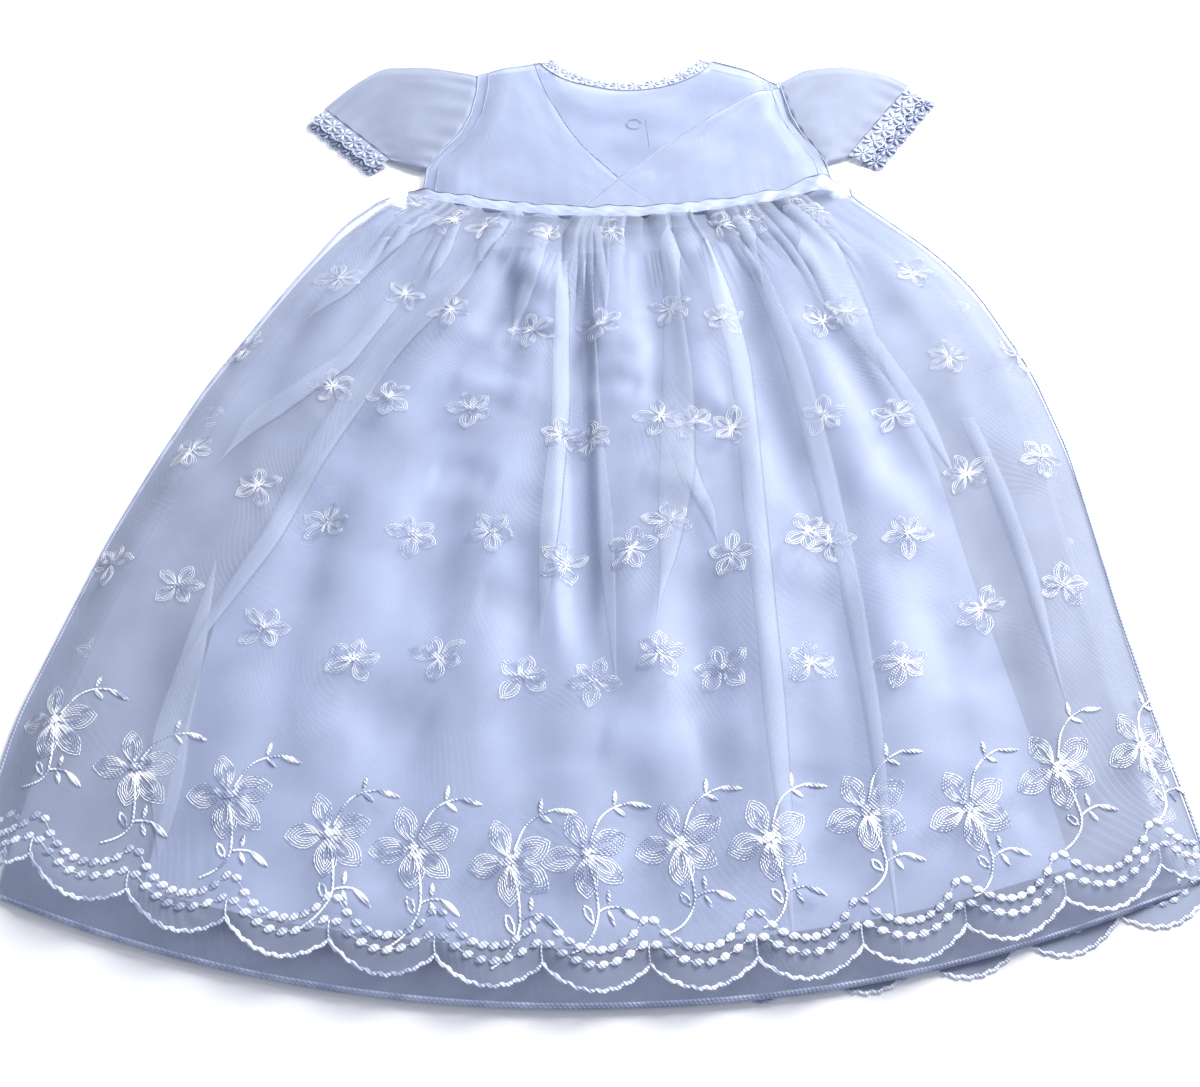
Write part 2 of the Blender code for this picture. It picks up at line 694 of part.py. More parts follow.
def skirt_point(across, down, sides, top, hem_of, inset=0.0):
    """Place on the surface of a skirt point, and how far inside the rolled side edges it is."""
    low, high = min(sides).level, max(sides).level
    level = blend(high, low, down)
    left = read(sides, level, "left") + inset
    right = read(sides, level, "right") - inset
    x = blend(left, right, across)
    top_left = read(sides, high, "left") + inset
    top_right = read(sides, high, "right") - inset
    top_x = blend(top_left, top_right, across)
    y = blend(top(top_x), hem_of(x), down)
    inward = ease(min(x - left, right - x) / SKIRT_ROLL)
    seam_inward = ease(min(x - top_left, top_right - x) / SKIRT_ROLL)
    below = ease((top(top_x) - y - RIBBON_WIDTH / 2) / SEAM_HOLD)
    return x, y, blend(seam_inward, inward, below)


def ply_height(plies, x, y, inward):
    """Underside of a front skirt ply: low at its sides, and lower at the waist than below it."""
    inside, at_side, at_waist = plies
    full = blend(at_waist, inside, ease((waist(x) - y) / WAIST_LIFT))
    return blend(at_side, full, inward)


def overskirt_folds(across, down):
    """Gathers and folds of the front overskirt above its base surface."""
    column = across * HEM_COLUMNS - 1
    phase = column / GATHER_COLUMNS
    gathered = 0 <= phase <= GATHERS
    grown = ease((down - GATHERS_START[0]) / GATHERS_START[1])
    faded = ease((down - GATHERS_FADE[0]) / GATHERS_FADE[1])
    wave = 0.5 - 0.5 * math.cos(2 * math.pi * phase)
    height = GATHER_HEIGHT * wave * grown * (1 - faded) * gathered
    for row in FOLDS:
        share = (down - row.down_from) / (row.down_to - row.down_from)
        if 0 <= share <= 1:
            middle = blend(row.across_from, row.across_to, share)
            ends = 1.0 if row.down_to == 1.0 else ease((1 - share) / FOLD_END)
            ridge = hump((across - middle) / row.half_width) * ease(share / FOLD_END) * ends
            height = max(height, row.height * ridge)
    return height


def scallop(across, down, first_cusp):
    """How far the scalloped hem reaches past its cusps at a place across the panel."""
    phase = (across * HEM_COLUMNS - first_cusp) / SCALLOP_COLUMNS
    reach = SCALLOP_DEPTH * abs(math.sin(math.pi * phase)) ** SCALLOP_POWER
    return reach * ease((down - SCALLOP_FROM) / (1 - SCALLOP_FROM))


def make_overskirt(gown):
    """Embroidered organza skirt, scalloped at the hem, front and back."""

    def seam(x):
        return waist(x) - SEAM / 2

    def front(across, down):
        x, y, inward = skirt_point(across, down, SKIRT_SIDES, seam, lambda at: hem(at, HEM_Y))
        z = ply_height(OVERSKIRT_FRONT_Z, x, y, inward)
        z += (SWELL_OVERSKIRT * swell(x, y) + overskirt_folds(across, down)) * inward
        return Vector((x, y - scallop(across, down, FIRST_CUSP), z))

    def back(across, down):
        def lower_hem(at):
            return hem(at, HEM_Y) - BACK_HEM_DROP * ease((at - HEM_X) / BACK_HEM_TURN)

        def back_seam(at):
            return waist(at) - RIBBON_WIDTH / 2 - SEAM
        x, y, _ = skirt_point(across, down, SKIRT_SIDES, back_seam, lower_hem)
        return Vector((x, y - scallop(across, down, BACK_CUSP), 0.0))

    columns = even(HEM_COLUMNS)
    panel("overskirt_front", ORGANZA, front, columns, OVERSKIRT_STOPS, gown)
    panel("overskirt_back", ORGANZA, back, columns, BACK_OVERSKIRT_STOPS, gown)


def make_petticoat(gown):
    """Plain organza petticoat under the overskirt, front and back."""

    def front(across, down):
        x, y, inward = skirt_point(across, down, SKIRT_SIDES, lambda at: waist(at) - SEAM,
                                   lambda at: hem(at, HEM_Y - PETTICOAT_HEM_DROP), PETTICOAT_INSET)
        z = ply_height(PETTICOAT_FRONT_Z, x, y, inward)
        return Vector((x, y, z + SWELL_PETTICOAT * swell(x, y) * inward))

    def back(across, down):
        x, y, _ = skirt_point(across, down, SKIRT_SIDES, lambda at: waist(at) - SEAM,
                              lambda at: hem(at, HEM_Y - PETTICOAT_BACK_DROP), PETTICOAT_INSET)
        return Vector((x, y, PETTICOAT_BACK_Z))

    panel("petticoat_front", ORGANZA, front, packed_at_sides(INNER_COLUMNS), INNER_STOPS, gown)
    panel("petticoat_back", ORGANZA, back, even(INNER_BACK_COLUMNS), INNER_BACK_STOPS, gown)


def make_satin(gown):
    """Satin underskirt, hung from a seam below the waist, front and back."""

    def top(x):
        return waist(x) + SATIN_TOP

    def front(across, down):
        x, y, inward = skirt_point(across, down, SATIN_SIDES, top, lambda at: hem(at, SATIN_HEM_Y))
        z = ply_height(SATIN_FRONT_Z, x, y, inward)
        return Vector((x, y, z + SWELL_SATIN * swell(x, y) * inward))

    def back(across, down):
        x, y, _ = skirt_point(across, down, SATIN_SIDES, top, lambda at: hem(at, SATIN_BACK_HEM_Y))
        return Vector((x, y, SATIN_BACK_Z))

    panel("satin_front", SATIN, front, packed_at_sides(INNER_COLUMNS), INNER_STOPS, gown)
    panel("satin_back", SATIN, back, even(INNER_BACK_COLUMNS), INNER_BACK_STOPS, gown)


def main():
    """Clears the scene and makes the gown."""
    for obj in list(bpy.data.objects):
        bpy.data.objects.remove(obj, do_unlink=True)
    gown = bpy.data.objects.new("gown", None)
    bpy.context.scene.collection.objects.link(gown)
    make_bodice(gown)
    make_buttons(gown)
    make_sleeves(gown)
    make_neck_lace(gown)
    make_ribbon(gown)
    make_overskirt(gown)
    make_petticoat(gown)
    make_satin(gown)


main()
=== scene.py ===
import logging
import math
from dataclasses import dataclass
from enum import Enum
from typing import Callable, Sequence

import bpy
import numpy as np
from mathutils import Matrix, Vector


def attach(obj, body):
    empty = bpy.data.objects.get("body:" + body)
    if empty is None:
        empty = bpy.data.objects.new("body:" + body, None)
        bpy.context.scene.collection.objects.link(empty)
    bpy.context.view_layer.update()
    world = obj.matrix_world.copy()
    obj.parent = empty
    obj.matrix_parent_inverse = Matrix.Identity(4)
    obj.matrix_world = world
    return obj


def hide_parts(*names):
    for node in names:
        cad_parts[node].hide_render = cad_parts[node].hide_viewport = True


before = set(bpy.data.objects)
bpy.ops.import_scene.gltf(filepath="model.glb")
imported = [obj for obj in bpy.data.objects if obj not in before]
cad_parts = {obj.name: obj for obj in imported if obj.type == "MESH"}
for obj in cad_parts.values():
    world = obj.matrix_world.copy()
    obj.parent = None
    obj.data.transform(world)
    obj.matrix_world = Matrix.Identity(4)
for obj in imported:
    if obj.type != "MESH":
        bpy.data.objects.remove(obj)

LOG = logging.getLogger("gown")
MM = 0.001
LEAST_AREA_SHARE = 0.3
LEAST_WIDTH = 0.0102
LACE_EASE = 1.02
CORD_LIFT = np.array((0, 0, 0.0004))
PICOT = 0.0006
SEED = 7

Numbers = float | np.ndarray
Surface = Callable[[float, float], Sequence[float]]

# Sizes that this script shares with the solids
WAIST_LEFT, WAIST_RIGHT = -0.119, 0.125
WAIST_CURVE, WAIST_TILT = 1.47, 0.035
RIBBON_WIDTH = 0.009
RIBBON_LEFT, RIBBON_RIGHT = -0.128, 0.129
NECK_X, NECK_HALF, NECK_Y = 0.003, 0.056, 0.155
FRONT_NECK_DEPTH, BACK_NECK_DEPTH = 0.031, 0.056
FRONT_NECK_POWER, BACK_NECK_POWER = 1.6, 1.0
SHOULDER_SHARE = 0.2
SHOULDER_LEFT, SHOULDER_RIGHT = (-0.0935, 0.146), (0.101, 0.137)
PLACKET_LEFT, PLACKET_RIGHT = -0.003, 0.019
PLACKET_STEP, LAP_CLEAR = 0.010, 0.002
BUTTON_X, BUTTON_YS = 0.007, (0.0895, 0.0355)
UNDERARM, SLEEVE_HEAD, SLEEVE_FOOT = 0.23, 0.985, 0.235
ARMHOLE_SEAM = 0.0008
HEM_Y, HEM_X, HEM_CURVE = -0.430, -0.025, 0.83
HEM_COLUMNS, SCALLOP_COLUMNS = 86, 7
FRONT_CUSP, BACK_CUSP = 5, 2
SCALLOP_DEPTH, SCALLOP_POWER, SCALLOP_FROM = 0.0095, 0.8, 0.95


class Arm(Enum):
    """The two sleeves, as the gown is seen from above."""

    LEFT = "left"
    RIGHT = "right"

    @property
    def outward(self) -> float:
        """Sign of X away from the bodice."""
        return -1.0 if self is Arm.LEFT else 1.0


class Facing(Enum):
    """The side of a ply that is its outside: up on the gown's front and down on its back."""

    UP = "front"
    DOWN = "back"


@dataclass(frozen=True)
class Side:
    """Reach of a panel's two side edges at one level."""

    level: float
    left: float
    right: float


@dataclass(frozen=True)
class SleeveRing:
    """Top fold and underarm seam of a sleeve at one share of its length."""

    along: float
    top: tuple[float, float]
    under: tuple[float, float]


BODICE_SIDES = (
    Side(0.00, WAIST_LEFT, WAIST_RIGHT),
    Side(UNDERARM, -0.1185, 0.1225),
    Side(0.35, -0.1120, 0.1170),
    Side(0.50, -0.1010, 0.1105),
    Side(0.65, -0.0955, 0.1060),
    Side(0.85, -0.0930, 0.1030),
    Side(1.00, SHOULDER_LEFT[0], SHOULDER_RIGHT[0]),
)
SKIRT_SIDES = (
    Side(-0.384, -0.2646, 0.2280),
    Side(-0.330, -0.2640, 0.2240),
    Side(-0.270, -0.2540, 0.2215),
    Side(-0.225, -0.2460, 0.2210),
    Side(-0.176, -0.2340, 0.2200),
    Side(-0.122, -0.2180, 0.2130),
    Side(-0.062, -0.1930, 0.1950),
    Side(-0.029, -0.1780, 0.1780),
    Side(0.005, -0.1580, 0.1500),
    Side(0.015, -0.1480, 0.1410),
    Side(0.024, -0.1330, 0.1330),
)
SATIN_SIDES = (
    Side(-0.392, -0.1925, 0.1720),
    Side(-0.342, -0.1910, 0.1680),
    Side(-0.256, -0.1860, 0.1570),
    Side(-0.188, -0.1600, 0.1510),
    Side(-0.126, -0.1300, 0.1430),
    Side(-0.080, -0.1040, 0.1160),
    Side(-0.030, -0.0770, 0.0850),
)
CROSS_LEFT_EDGE = ((0.034, 0.0020), (-0.032, 0.0470), (-0.057, 0.1510))
CROSS_RIGHT_EDGE = ((-0.027, 0.0014), (0.027, 0.0760), (0.0965, 0.1255))
CROSS_RIGHT_TOP = 0.93
SLEEVES = {
    Arm.LEFT: (
        SleeveRing(0.00, SHOULDER_LEFT, (-0.1185, 0.0460)),
        SleeveRing(0.33, (-0.127, 0.1535), (-0.1235, 0.0480)),
        SleeveRing(0.66, (-0.157, 0.1530), (-0.1300, 0.0510)),
        SleeveRing(0.85, (-0.176, 0.1320), (-0.1350, 0.0535)),
        SleeveRing(1.00, (-0.191, 0.1070), (-0.1410, 0.0565)),
    ),
    Arm.RIGHT: (
        SleeveRing(0.00, SHOULDER_RIGHT, (0.1225, 0.0520)),
        SleeveRing(0.30, (0.120, 0.1510), (0.1240, 0.0540)),
        SleeveRing(0.60, (0.147, 0.1550), (0.1270, 0.0560)),
        SleeveRing(0.85, (0.173, 0.1460), (0.1310, 0.0580)),
        SleeveRing(1.00, (0.187, 0.1330), (0.1360, 0.0595)),
    ),
}
CUFF_SLIP = {Arm.LEFT: (-0.002, -0.006), Arm.RIGHT: (0.0085, -0.007)}


def ease(share: Numbers) -> Numbers:
    """Soft step from 0 to 1, for a number or an array."""
    share = np.clip(share, 0.0, 1.0)
    return share * share * (3.0 - 2.0 * share)


def hump(distance: Numbers) -> Numbers:
    """Soft ridge: 1 in its middle and 0 from a distance of 1."""
    return 0.5 + 0.5 * np.cos(np.pi * np.minimum(1.0, np.abs(distance)))


def blend(start: Numbers, end: Numbers, share: Numbers) -> Numbers:
    """Value a share of the way from start to end."""
    return start + (end - start) * share


def read(rows: Sequence[Side], level: Numbers, column: str) -> Numbers:
    """One column of a table at a level, with its corners rounded off.

    Args:
        rows: The table's rows, whose first field is their level.
        level: A number or an array of levels.
        column: The name of the field to read.

    Returns:
        The column's value at each level.
    """
    ordered = sorted(rows, key=lambda row: row.level)
    levels = [row.level for row in ordered]
    values = [getattr(row, column) for row in ordered]
    reach = (levels[-1] - levels[0]) * 0.03
    taps = [np.interp(np.asarray(level) + reach * k, levels, values) for k in (-1, -0.5, 0, 0.5, 1)]
    return sum(taps) / len(taps)


def waist(x: Numbers) -> Numbers:
    """Height of the waist seam on the surface."""
    return WAIST_CURVE * x * x + WAIST_TILT * x


def hem(x: Numbers, middle: float = HEM_Y) -> Numbers:
    """Height of a hem that is lowest at its middle."""
    return middle + HEM_CURVE * (x - HEM_X) ** 2


@dataclass(frozen=True)
class Photo:
    """The photograph's frame and the lens that took it, over the surface."""

    width: float = 1200.0
    height: float = 1087.0
    focal: float = 1202.0
    x: float = -0.0142
    y: float = -0.5579
    z: float = 0.465
    pitch: float = math.radians(54.6)
    sensor: float = 36.0

    def on_level(self, px: float, py: float, level: float) -> tuple[float, float]:
        """Place at a height above the surface that a pixel of the photograph shows.

        Args:
            px: Pixel column.
            py: Pixel row.
            level: Height above the surface.

        Returns:
            X and Y in metres.
        """
        across, down = px - self.width / 2, py - self.height / 2
        sine, cosine = math.sin(self.pitch), math.cos(self.pitch)
        reach = (self.z - level) / (self.focal * sine + down * cosine)
        return self.x + across * reach, self.y + (self.focal * cosine - down * sine) * reach

    def camera(self) -> None:
        """Adds the camera and makes it the scene's own."""
        deselect()
        bpy.ops.object.camera_add(location=(self.x, self.y, self.z),
                                  rotation=(math.pi / 2 - self.pitch, 0.0, 0.0))
        camera = bpy.context.object
        camera.name = "Camera"
        camera.data.sensor_width = self.sensor
        camera.data.lens = self.focal / self.width * self.sensor
        camera.data.clip_start = 0.01
        bpy.context.scene.camera = camera


PHOTO = Photo()


def deselect() -> None:
    """Leaves nothing selected."""
    bpy.ops.object.select_all(action="DESELECT")


def linear(code: str) -> tuple[float, float, float, float]:
    """Linear colour of an sRGB hex value.

    Args:
        code: Six hex digits after a hash sign.

    Returns:
        Red, green, blue and alpha.
    """
    parts = [int(code[i:i + 2], 16) / 255 for i in (1, 3, 5)]
    return (*(c / 12.92 if c <= 0.04045 else ((c + 0.055) / 1.055) ** 2.4 for c in parts), 1.0)


@dataclass
class Wiring:
    """A material's node tree, its Principled node and the coordinates that its textures follow."""

    tree: bpy.types.NodeTree
    shader: bpy.types.Node
    place: bpy.types.NodeSocket

    def add(self, kind: str, settings: dict | None = None, links: dict | None = None) -> bpy.types.Node:
        """Adds a node.

        Args:
            kind: The node's type name.
            settings: Values by attribute name or by input.
            links: Output sockets by the input that they feed.

        Returns:
            The node.
        """
        node = self.tree.nodes.new(kind)
        for name, value in (settings or {}).items():
            if isinstance(name, str) and name.islower() and hasattr(node, name):
                setattr(node, name, value)
            else:
                node.inputs[name].default_value = value
        for name, source in (links or {}).items():
            self.tree.links.new(source, node.inputs[name])
        return node

    def texture(self, kind: str, settings: dict) -> bpy.types.NodeSocket:
        """Adds a texture on the coordinates and gives its value."""
        return self.add(kind, settings, {"Vector": self.place}).outputs["Fac"]

    def shade(self, name: str, source: bpy.types.NodeSocket) -> None:
        """Feeds an input of the Principled node."""
        self.tree.links.new(source, self.shader.inputs[name])

    def gloss(self, **values: float) -> None:
        """Sets plain inputs of the Principled node, with underscores for the spaces in their names."""
        for name, value in values.items():
            self.shader.inputs[name.replace("_", " ")].default_value = value

    def bump(self, height: bpy.types.NodeSocket, strength: float, distance: float) -> None:
        """Relief of a height."""
        made = self.add("ShaderNodeBump", {"Strength": strength, "Distance": distance}, {"Height": height})
        self.shade("Normal", made.outputs["Normal"])

    def ramp(self, value: bpy.types.NodeSocket, colours: Sequence[str],
             places: Sequence[float] = (0.0, 1.0)) -> bpy.types.NodeSocket:
        """Colour between two, by a value.

        Args:
            value: The value.
            colours: The two colours as hex codes.
            places: The values at which they stand.

        Returns:
            The colour's socket.
        """
        made = self.add("ShaderNodeValToRGB", {}, {"Fac": value})
        for stop, place, code in zip(made.color_ramp.elements, places, colours):
            stop.position, stop.color = place, linear(code)
        return made.outputs["Color"]


def wave_scale(period_mm: float) -> float:
    """Scale of a Wave texture whose bands repeat at a real distance."""
    return 2 * math.pi / 20 / (period_mm * MM)


@dataclass(frozen=True)
class Finish:
    """What a piece wears: the name of its material and its colour."""

    name: str
    colour: str

    SPACE = "Object"

    def material(self) -> bpy.types.Material:
        """The finish's material, made at its first use.

        Returns:
            The material.
        """
        made = bpy.data.materials.get(self.name)
        if made is None:
            made = bpy.data.materials.new(self.name)
            made.use_nodes = True
            tree = made.node_tree
            place = tree.nodes.new("ShaderNodeTexCoord").outputs[self.SPACE]
            self.wire(Wiring(tree, tree.nodes["Principled BSDF"], place))
        return made

    def wire(self, wiring: Wiring) -> None:
        """Sets the material's nodes."""
        raise NotImplementedError


@dataclass(frozen=True)
class Cloth(Finish):
    """A woven cloth: how much it covers, its gloss, its threads and the ripple of its layers.

    Its patterns follow its UV map, in metres of cloth. Threads are drawn up to 1 mm apart, because
    the real 0.1 to 0.2 mm is finer than a pixel, and the moire's lines 2.6 to 4 mm apart.
    """

    cover: float
    roughness: float
    sheen: float
    thread_mm: float
    ripple_mm: float
    ripple: float
    specular: float = 0.5
    anisotropic: float = 0.0
    relief: float = 0.15
    # Colour at the top of a painted shade gradient from the hem, if any
    painted_shade_top_colour: str = ""

    SPACE = "UV"
    PATCH, MOTTLE = 0.07, 0.032
    DARKEST, LIGHTEST = 0.91, 1.05
    # Heights of cloth in metres over which the painted shade turns from the hem colour to the top colour
    TOP_FROM, TOP_TO = 0.24, 0.44

    def wire(self, wiring: Wiring) -> None:
        """Gloss, mottled colour, the weave in the relief and the moire in the coverage.

        Args:
            wiring: The material's nodes.
        """
        wiring.gloss(Roughness=self.roughness, Specular_IOR_Level=self.specular, IOR=1.5,
                     Sheen_Weight=self.sheen, Sheen_Roughness=0.4, Anisotropic=self.anisotropic)
        self.tint(wiring)
        warp, weft = (wiring.texture("ShaderNodeTexWave",
                                     {"Scale": wave_scale(self.thread_mm), "bands_direction": way})
                      for way in ("X", "Y"))
        weave = wiring.add("ShaderNodeMath", {"operation": "MULTIPLY"}, {0: warp, 1: weft})
        wiring.bump(weave.outputs["Value"], self.relief, self.thread_mm * MM / 4)
        if self.cover < 1.0:
            self.moire(wiring)

    def moire(self, wiring: Wiring) -> None:
        """Coverage with the wavy lines that two sheer layers give, in patches.

        Args:
            wiring: The material's nodes.
        """
        ripple = wiring.texture("ShaderNodeTexWave",
                                {"Scale": wave_scale(self.ripple_mm), "bands_direction": "DIAGONAL",
                                 "Distortion": 60.0, "Detail": 0.0, "Detail Scale": 0.11})
        noise = wiring.texture("ShaderNodeTexNoise", {"Scale": 1 / self.PATCH, "Detail": 1.0})
        patches = wiring.add("ShaderNodeMapRange", {"From Min": 0.48, "From Max": 0.62}, {"Value": noise})
        swing = wiring.add("ShaderNodeMapRange", {"To Min": -self.ripple, "To Max": self.ripple},
                           {"Value": ripple})
        cover = wiring.add("ShaderNodeMath", {"operation": "MULTIPLY_ADD", 2: self.cover},
                           {0: swing.outputs["Result"], 1: patches.outputs["Result"]})
        wiring.shade("Alpha", cover.outputs["Value"])

    def tint(self, wiring: Wiring) -> None:
        """Colour with soft lighter and darker patches, and painted shade from hem to top where the two
        colours differ.

        Args:
            wiring: The material's nodes.
        """
        noise = wiring.texture("ShaderNodeTexNoise", {"Scale": 1 / self.MOTTLE, "Detail": 2.5})
        value = wiring.add("ShaderNodeMapRange",
                           {"From Min": 0.35, "From Max": 0.65,
                            "To Min": self.DARKEST, "To Max": self.LIGHTEST},
                           {"Value": noise})
        tone = wiring.add("ShaderNodeHueSaturation", {"Color": linear(self.colour)},
                          {"Value": value.outputs["Result"]})
        # Painted shade: the colour turns from the hem colour to the top colour up the cloth
        if self.painted_shade_top_colour:
            axes = wiring.add("ShaderNodeSeparateXYZ", {}, {"Vector": wiring.place})
            height = wiring.add("ShaderNodeMapRange", {"From Min": self.TOP_FROM, "From Max": self.TOP_TO},
                                {"Value": axes.outputs["Y"]})
            colour = wiring.ramp(height.outputs["Result"], (self.colour, self.painted_shade_top_colour))
            wiring.tree.links.new(colour, tone.inputs["Color"])
        wiring.shade("Base Color", tone.outputs["Color"])


@dataclass(frozen=True)
class Moulded(Finish):
    """A smooth solid finish, such as nylon or paper, with a fine grain in its relief."""

    roughness: float
    grain_mm: float
    grain: float

    def wire(self, wiring: Wiring) -> None:
        """Plain colour and grain.

        Args:
            wiring: The material's nodes.
        """
        wiring.shader.inputs["Base Color"].default_value = linear(self.colour)
        wiring.gloss(Roughness=self.roughness)
        noise = wiring.texture("ShaderNodeTexNoise", {"Scale": 1 / (self.grain_mm * MM), "Detail": 2.0})
        wiring.bump(noise, self.grain, self.grain_mm * MM / 4)


@dataclass(frozen=True)
class Filament(Finish):
    """Glossy thread, whose twist shows as fine bands, in random patches of painted highlight and painted
    shade.

    The twist is drawn 0.9 mm long, because the real 0.3 mm is finer than a pixel.
    """

    painted_shade: str
    roughness: float
    patch_mm: float
    twist_mm: float = 0.9

    # Mix values below which the painted shade colour shows, and above which the painted highlight colour
    # shows
    SHADED_BELOW, LIT_ABOVE = 0.47, 0.62

    def wire(self, wiring: Wiring) -> None:
        """Painted highlight and painted shade in random patches of the colour, and the twist as faint
        bands in the colour and in the relief.

        Args:
            wiring: The material's nodes.
        """
        wiring.gloss(Roughness=self.roughness, Specular_IOR_Level=1.0, Sheen_Weight=0.2)
        twist = wiring.texture("ShaderNodeTexWave",
                               {"Scale": wave_scale(self.twist_mm), "bands_direction": "DIAGONAL"})
        # Random patches of painted highlight and painted shade
        painted_light_patches = wiring.texture("ShaderNodeTexNoise", {"Scale": 1 / (self.patch_mm * MM), "Detail": 1.0})
        mixed = wiring.add("ShaderNodeMath", {"operation": "MULTIPLY_ADD", 1: 0.16}, {0: twist, 2: painted_light_patches})
        wiring.shade("Base Color", wiring.ramp(mixed.outputs["Value"], (self.painted_shade, self.colour),
                                               (self.SHADED_BELOW, self.LIT_ABOVE)))
        wiring.bump(twist, 0.7, self.twist_mm * MM / 5)


# Sheer plain-woven nylon, which the satin glows through: pale, soft-edged and rippled with moire
ORGANZA = Cloth("nylon_organza_overskirt", "#C2CCE2", 0.33, 0.60, 0.35, 1.0, 2.6, 0.045, 0.3)
# The same cloth undyed and unsewn, the thinnest veil of the gown
PETTICOAT_ORGANZA = Cloth("nylon_organza_petticoat", "#B4BEDA", 0.20, 0.62, 0.3, 1.0, 3.3, 0.04, 0.3)
# The back plies together, closed to the eye: a grey-blue ground with painted shade that darkens it to the
# hem
BACK_ORGANZA = Cloth("nylon_organza_back_plies", "#9199AE", 1.0, 0.62, 0.3, 1.0, 3.0, 0.014, 0.3,
                     painted_shade_top_colour="#ABB6D1")
# Crossed panels, lighter than the front that they lie on
BODICE_ORGANZA = Cloth("nylon_organza_bodice", "#C3CEE8", 0.46, 0.62, 0.35, 1.0, 2.6, 0.03, 0.3)
# Front panel, close enough to veil the backs and the placket
BODICE_FRONT = Cloth("nylon_organza_bodice_front", "#A5B1D0", 0.84, 0.62, 0.35, 1.0, 2.6, 0.012, 0.3)
# Backs, the matt ground of the bodice
BODICE_BACK = Cloth("nylon_organza_bodice_back", "#AEB9D3", 1.0, 0.62, 0.35, 1.0, 2.6, 0.012, 0.3)
# Two plies of each sleeve, a cooler grey with the light in its gathers
SLEEVE_ORGANZA = Cloth("nylon_organza_sleeve", "#A6AFC6", 0.74, 0.65, 0.35, 1.0, 2.6, 0.012, 0.3)
# Woven polyester satin: closed, with a broad silky light along its folds, and painted shade that darkens
# its upper part
SATIN = Cloth("polyester_satin_woven", "#AFBAD8", 1.0, 0.50, 0.25, 0.7, 1.0, 0.0, 0.34, 0.3, 0.08,
              painted_shade_top_colour="#9AA5C6")
# Woven satin ribbon, the glossiest cloth of the gown
RIBBON = Cloth("polyester_satin_ribbon", "#B7C2DE", 1.0, 0.40, 0.2, 0.6, 1.0, 0.0, 0.4, 0.3, 0.1)
# Cotton net under the daisies; its 1 mm mesh is drawn 1.6 mm wide, so that it shows as a fine grain
LACE_NET = Cloth("cotton_net_lace_ground", "#B9C4DE", 0.72, 0.6, 0.2, 1.6, 4.0, 0.05)
# The same net behind the cuffs, darker as painted shade
LACE_NET_BACK = Cloth("cotton_net_lace_ground_shaded", "#8D98B5", 0.82, 0.6, 0.2, 1.6, 4.0, 0.05)
# Rayon machine embroidery, with random patches of painted highlight in white and painted shade in
# blue-grey
RAYON = Filament("rayon_thread_embroidery", "#FAFCFF", "#8A96B5", 0.26, 6.0)
# Rayon cord and satin dots of the hem, softer than the flowers, in patches of painted highlight and
# painted shade
CORD = Filament("rayon_cord_scalloped_edge", "#E4EAF8", "#98A3BF", 0.32, 9.0)
# Rolled and overcast edge of the organza, a thin darker line, in patches of painted highlight and painted
# shade
EDGE = Filament("organza_rolled_edge", "#A4AFCC", "#8691B2", 0.5, 12.0)
# Cotton cords of the lace, matt and light against the net, in patches of painted highlight and painted
# shade
LACE_CORD = Filament("cotton_corded_lace", "#DCE4F5", "#B4BED6", 0.45, 7.0)
# The same cords behind the cuffs, darker as painted shade
LACE_CORD_BACK = Filament("cotton_corded_lace_shaded", "#A9B4CF", "#8A95B3", 0.5, 7.0)
# Moulded nylon, smooth and half glossy through the cloth
NYLON = Moulded("nylon_button_moulded", "#A9B2C9", 0.3, 0.4, 0.1)
# Matt white paper without an edge, so that the gown's shadow is all that shows of it
FLOOR = Moulded("white_paper_sweep", "#FFFFFF", 0.9, 2.0, 0.02)


@dataclass
class Net:
    """The points of a piece of cloth, in rows from its top edge down."""

    points: np.ndarray

    @property
    def size(self) -> tuple[int, int]:
        """Number of rows and of columns between the points."""
        return self.points.shape[0] - 1, self.points.shape[1] - 1

    def at(self, across: Numbers, down: Numbers) -> np.ndarray:
        """Points of the cloth at shares across and down it.

        Args:
            across: Shares from the left edge to the right one.
            down: Shares from the top to the hem, over 1 past the hem.

        Returns:
            An array of points.
        """
        rows, columns = self.size
        across = np.clip(np.asarray(across, float), 0.0, 1.0) * columns
        past = np.maximum(np.asarray(down, float) - 1.0, 0.0)
        down = np.clip(np.asarray(down, float), 0.0, 1.0) * rows
        j = np.minimum(across.astype(int), columns - 1)
        i = np.minimum(down.astype(int), rows - 1)
        fj, fi = (across - j)[..., None], (down - i)[..., None]
        upper = blend(self.points[i, j], self.points[i, j + 1], fj)
        lower = blend(self.points[i + 1, j], self.points[i + 1, j + 1], fj)
        place = blend(upper, lower, fi)
        place[..., 1] -= past * self.height(across / columns)
        return place

    def height(self, across: Numbers) -> Numbers:
        """Length of the cloth from top to hem.

        Args:
            across: Shares from the left edge to the right one.

        Returns:
            The length at each share.
        """
        columns = (np.clip(across, 0, 1) * self.size[1]).astype(int)
        top, low = self.points[0, columns], self.points[-1, columns]
        return np.linalg.norm(top - low, axis=-1)

    def widths(self) -> np.ndarray:
        """Length of the cloth across each of its rows."""
        return np.linalg.norm(np.diff(self.points, axis=1), axis=2).sum(axis=1)

    def area(self) -> float:
        """Area of the cloth.

        Returns:
            Half the sum of the products of its cells' diagonals.
        """
        p = self.points
        one = np.cross(p[1:, 1:] - p[:-1, :-1], p[1:, :-1] - p[:-1, 1:])
        return float(np.linalg.norm(one, axis=-1).sum() / 2)

    def flat_area(self, cut: tuple[float, float]) -> float:
        """Area for the flat cloth.

        Args:
            cut: Width and length of the rectangle that it is cut from.

        Returns:
            The net's area, kept within what the rectangle allows.
        """
        full = cut[0] * cut[1]
        return min(max(self.area(), LEAST_AREA_SHARE * full), full)


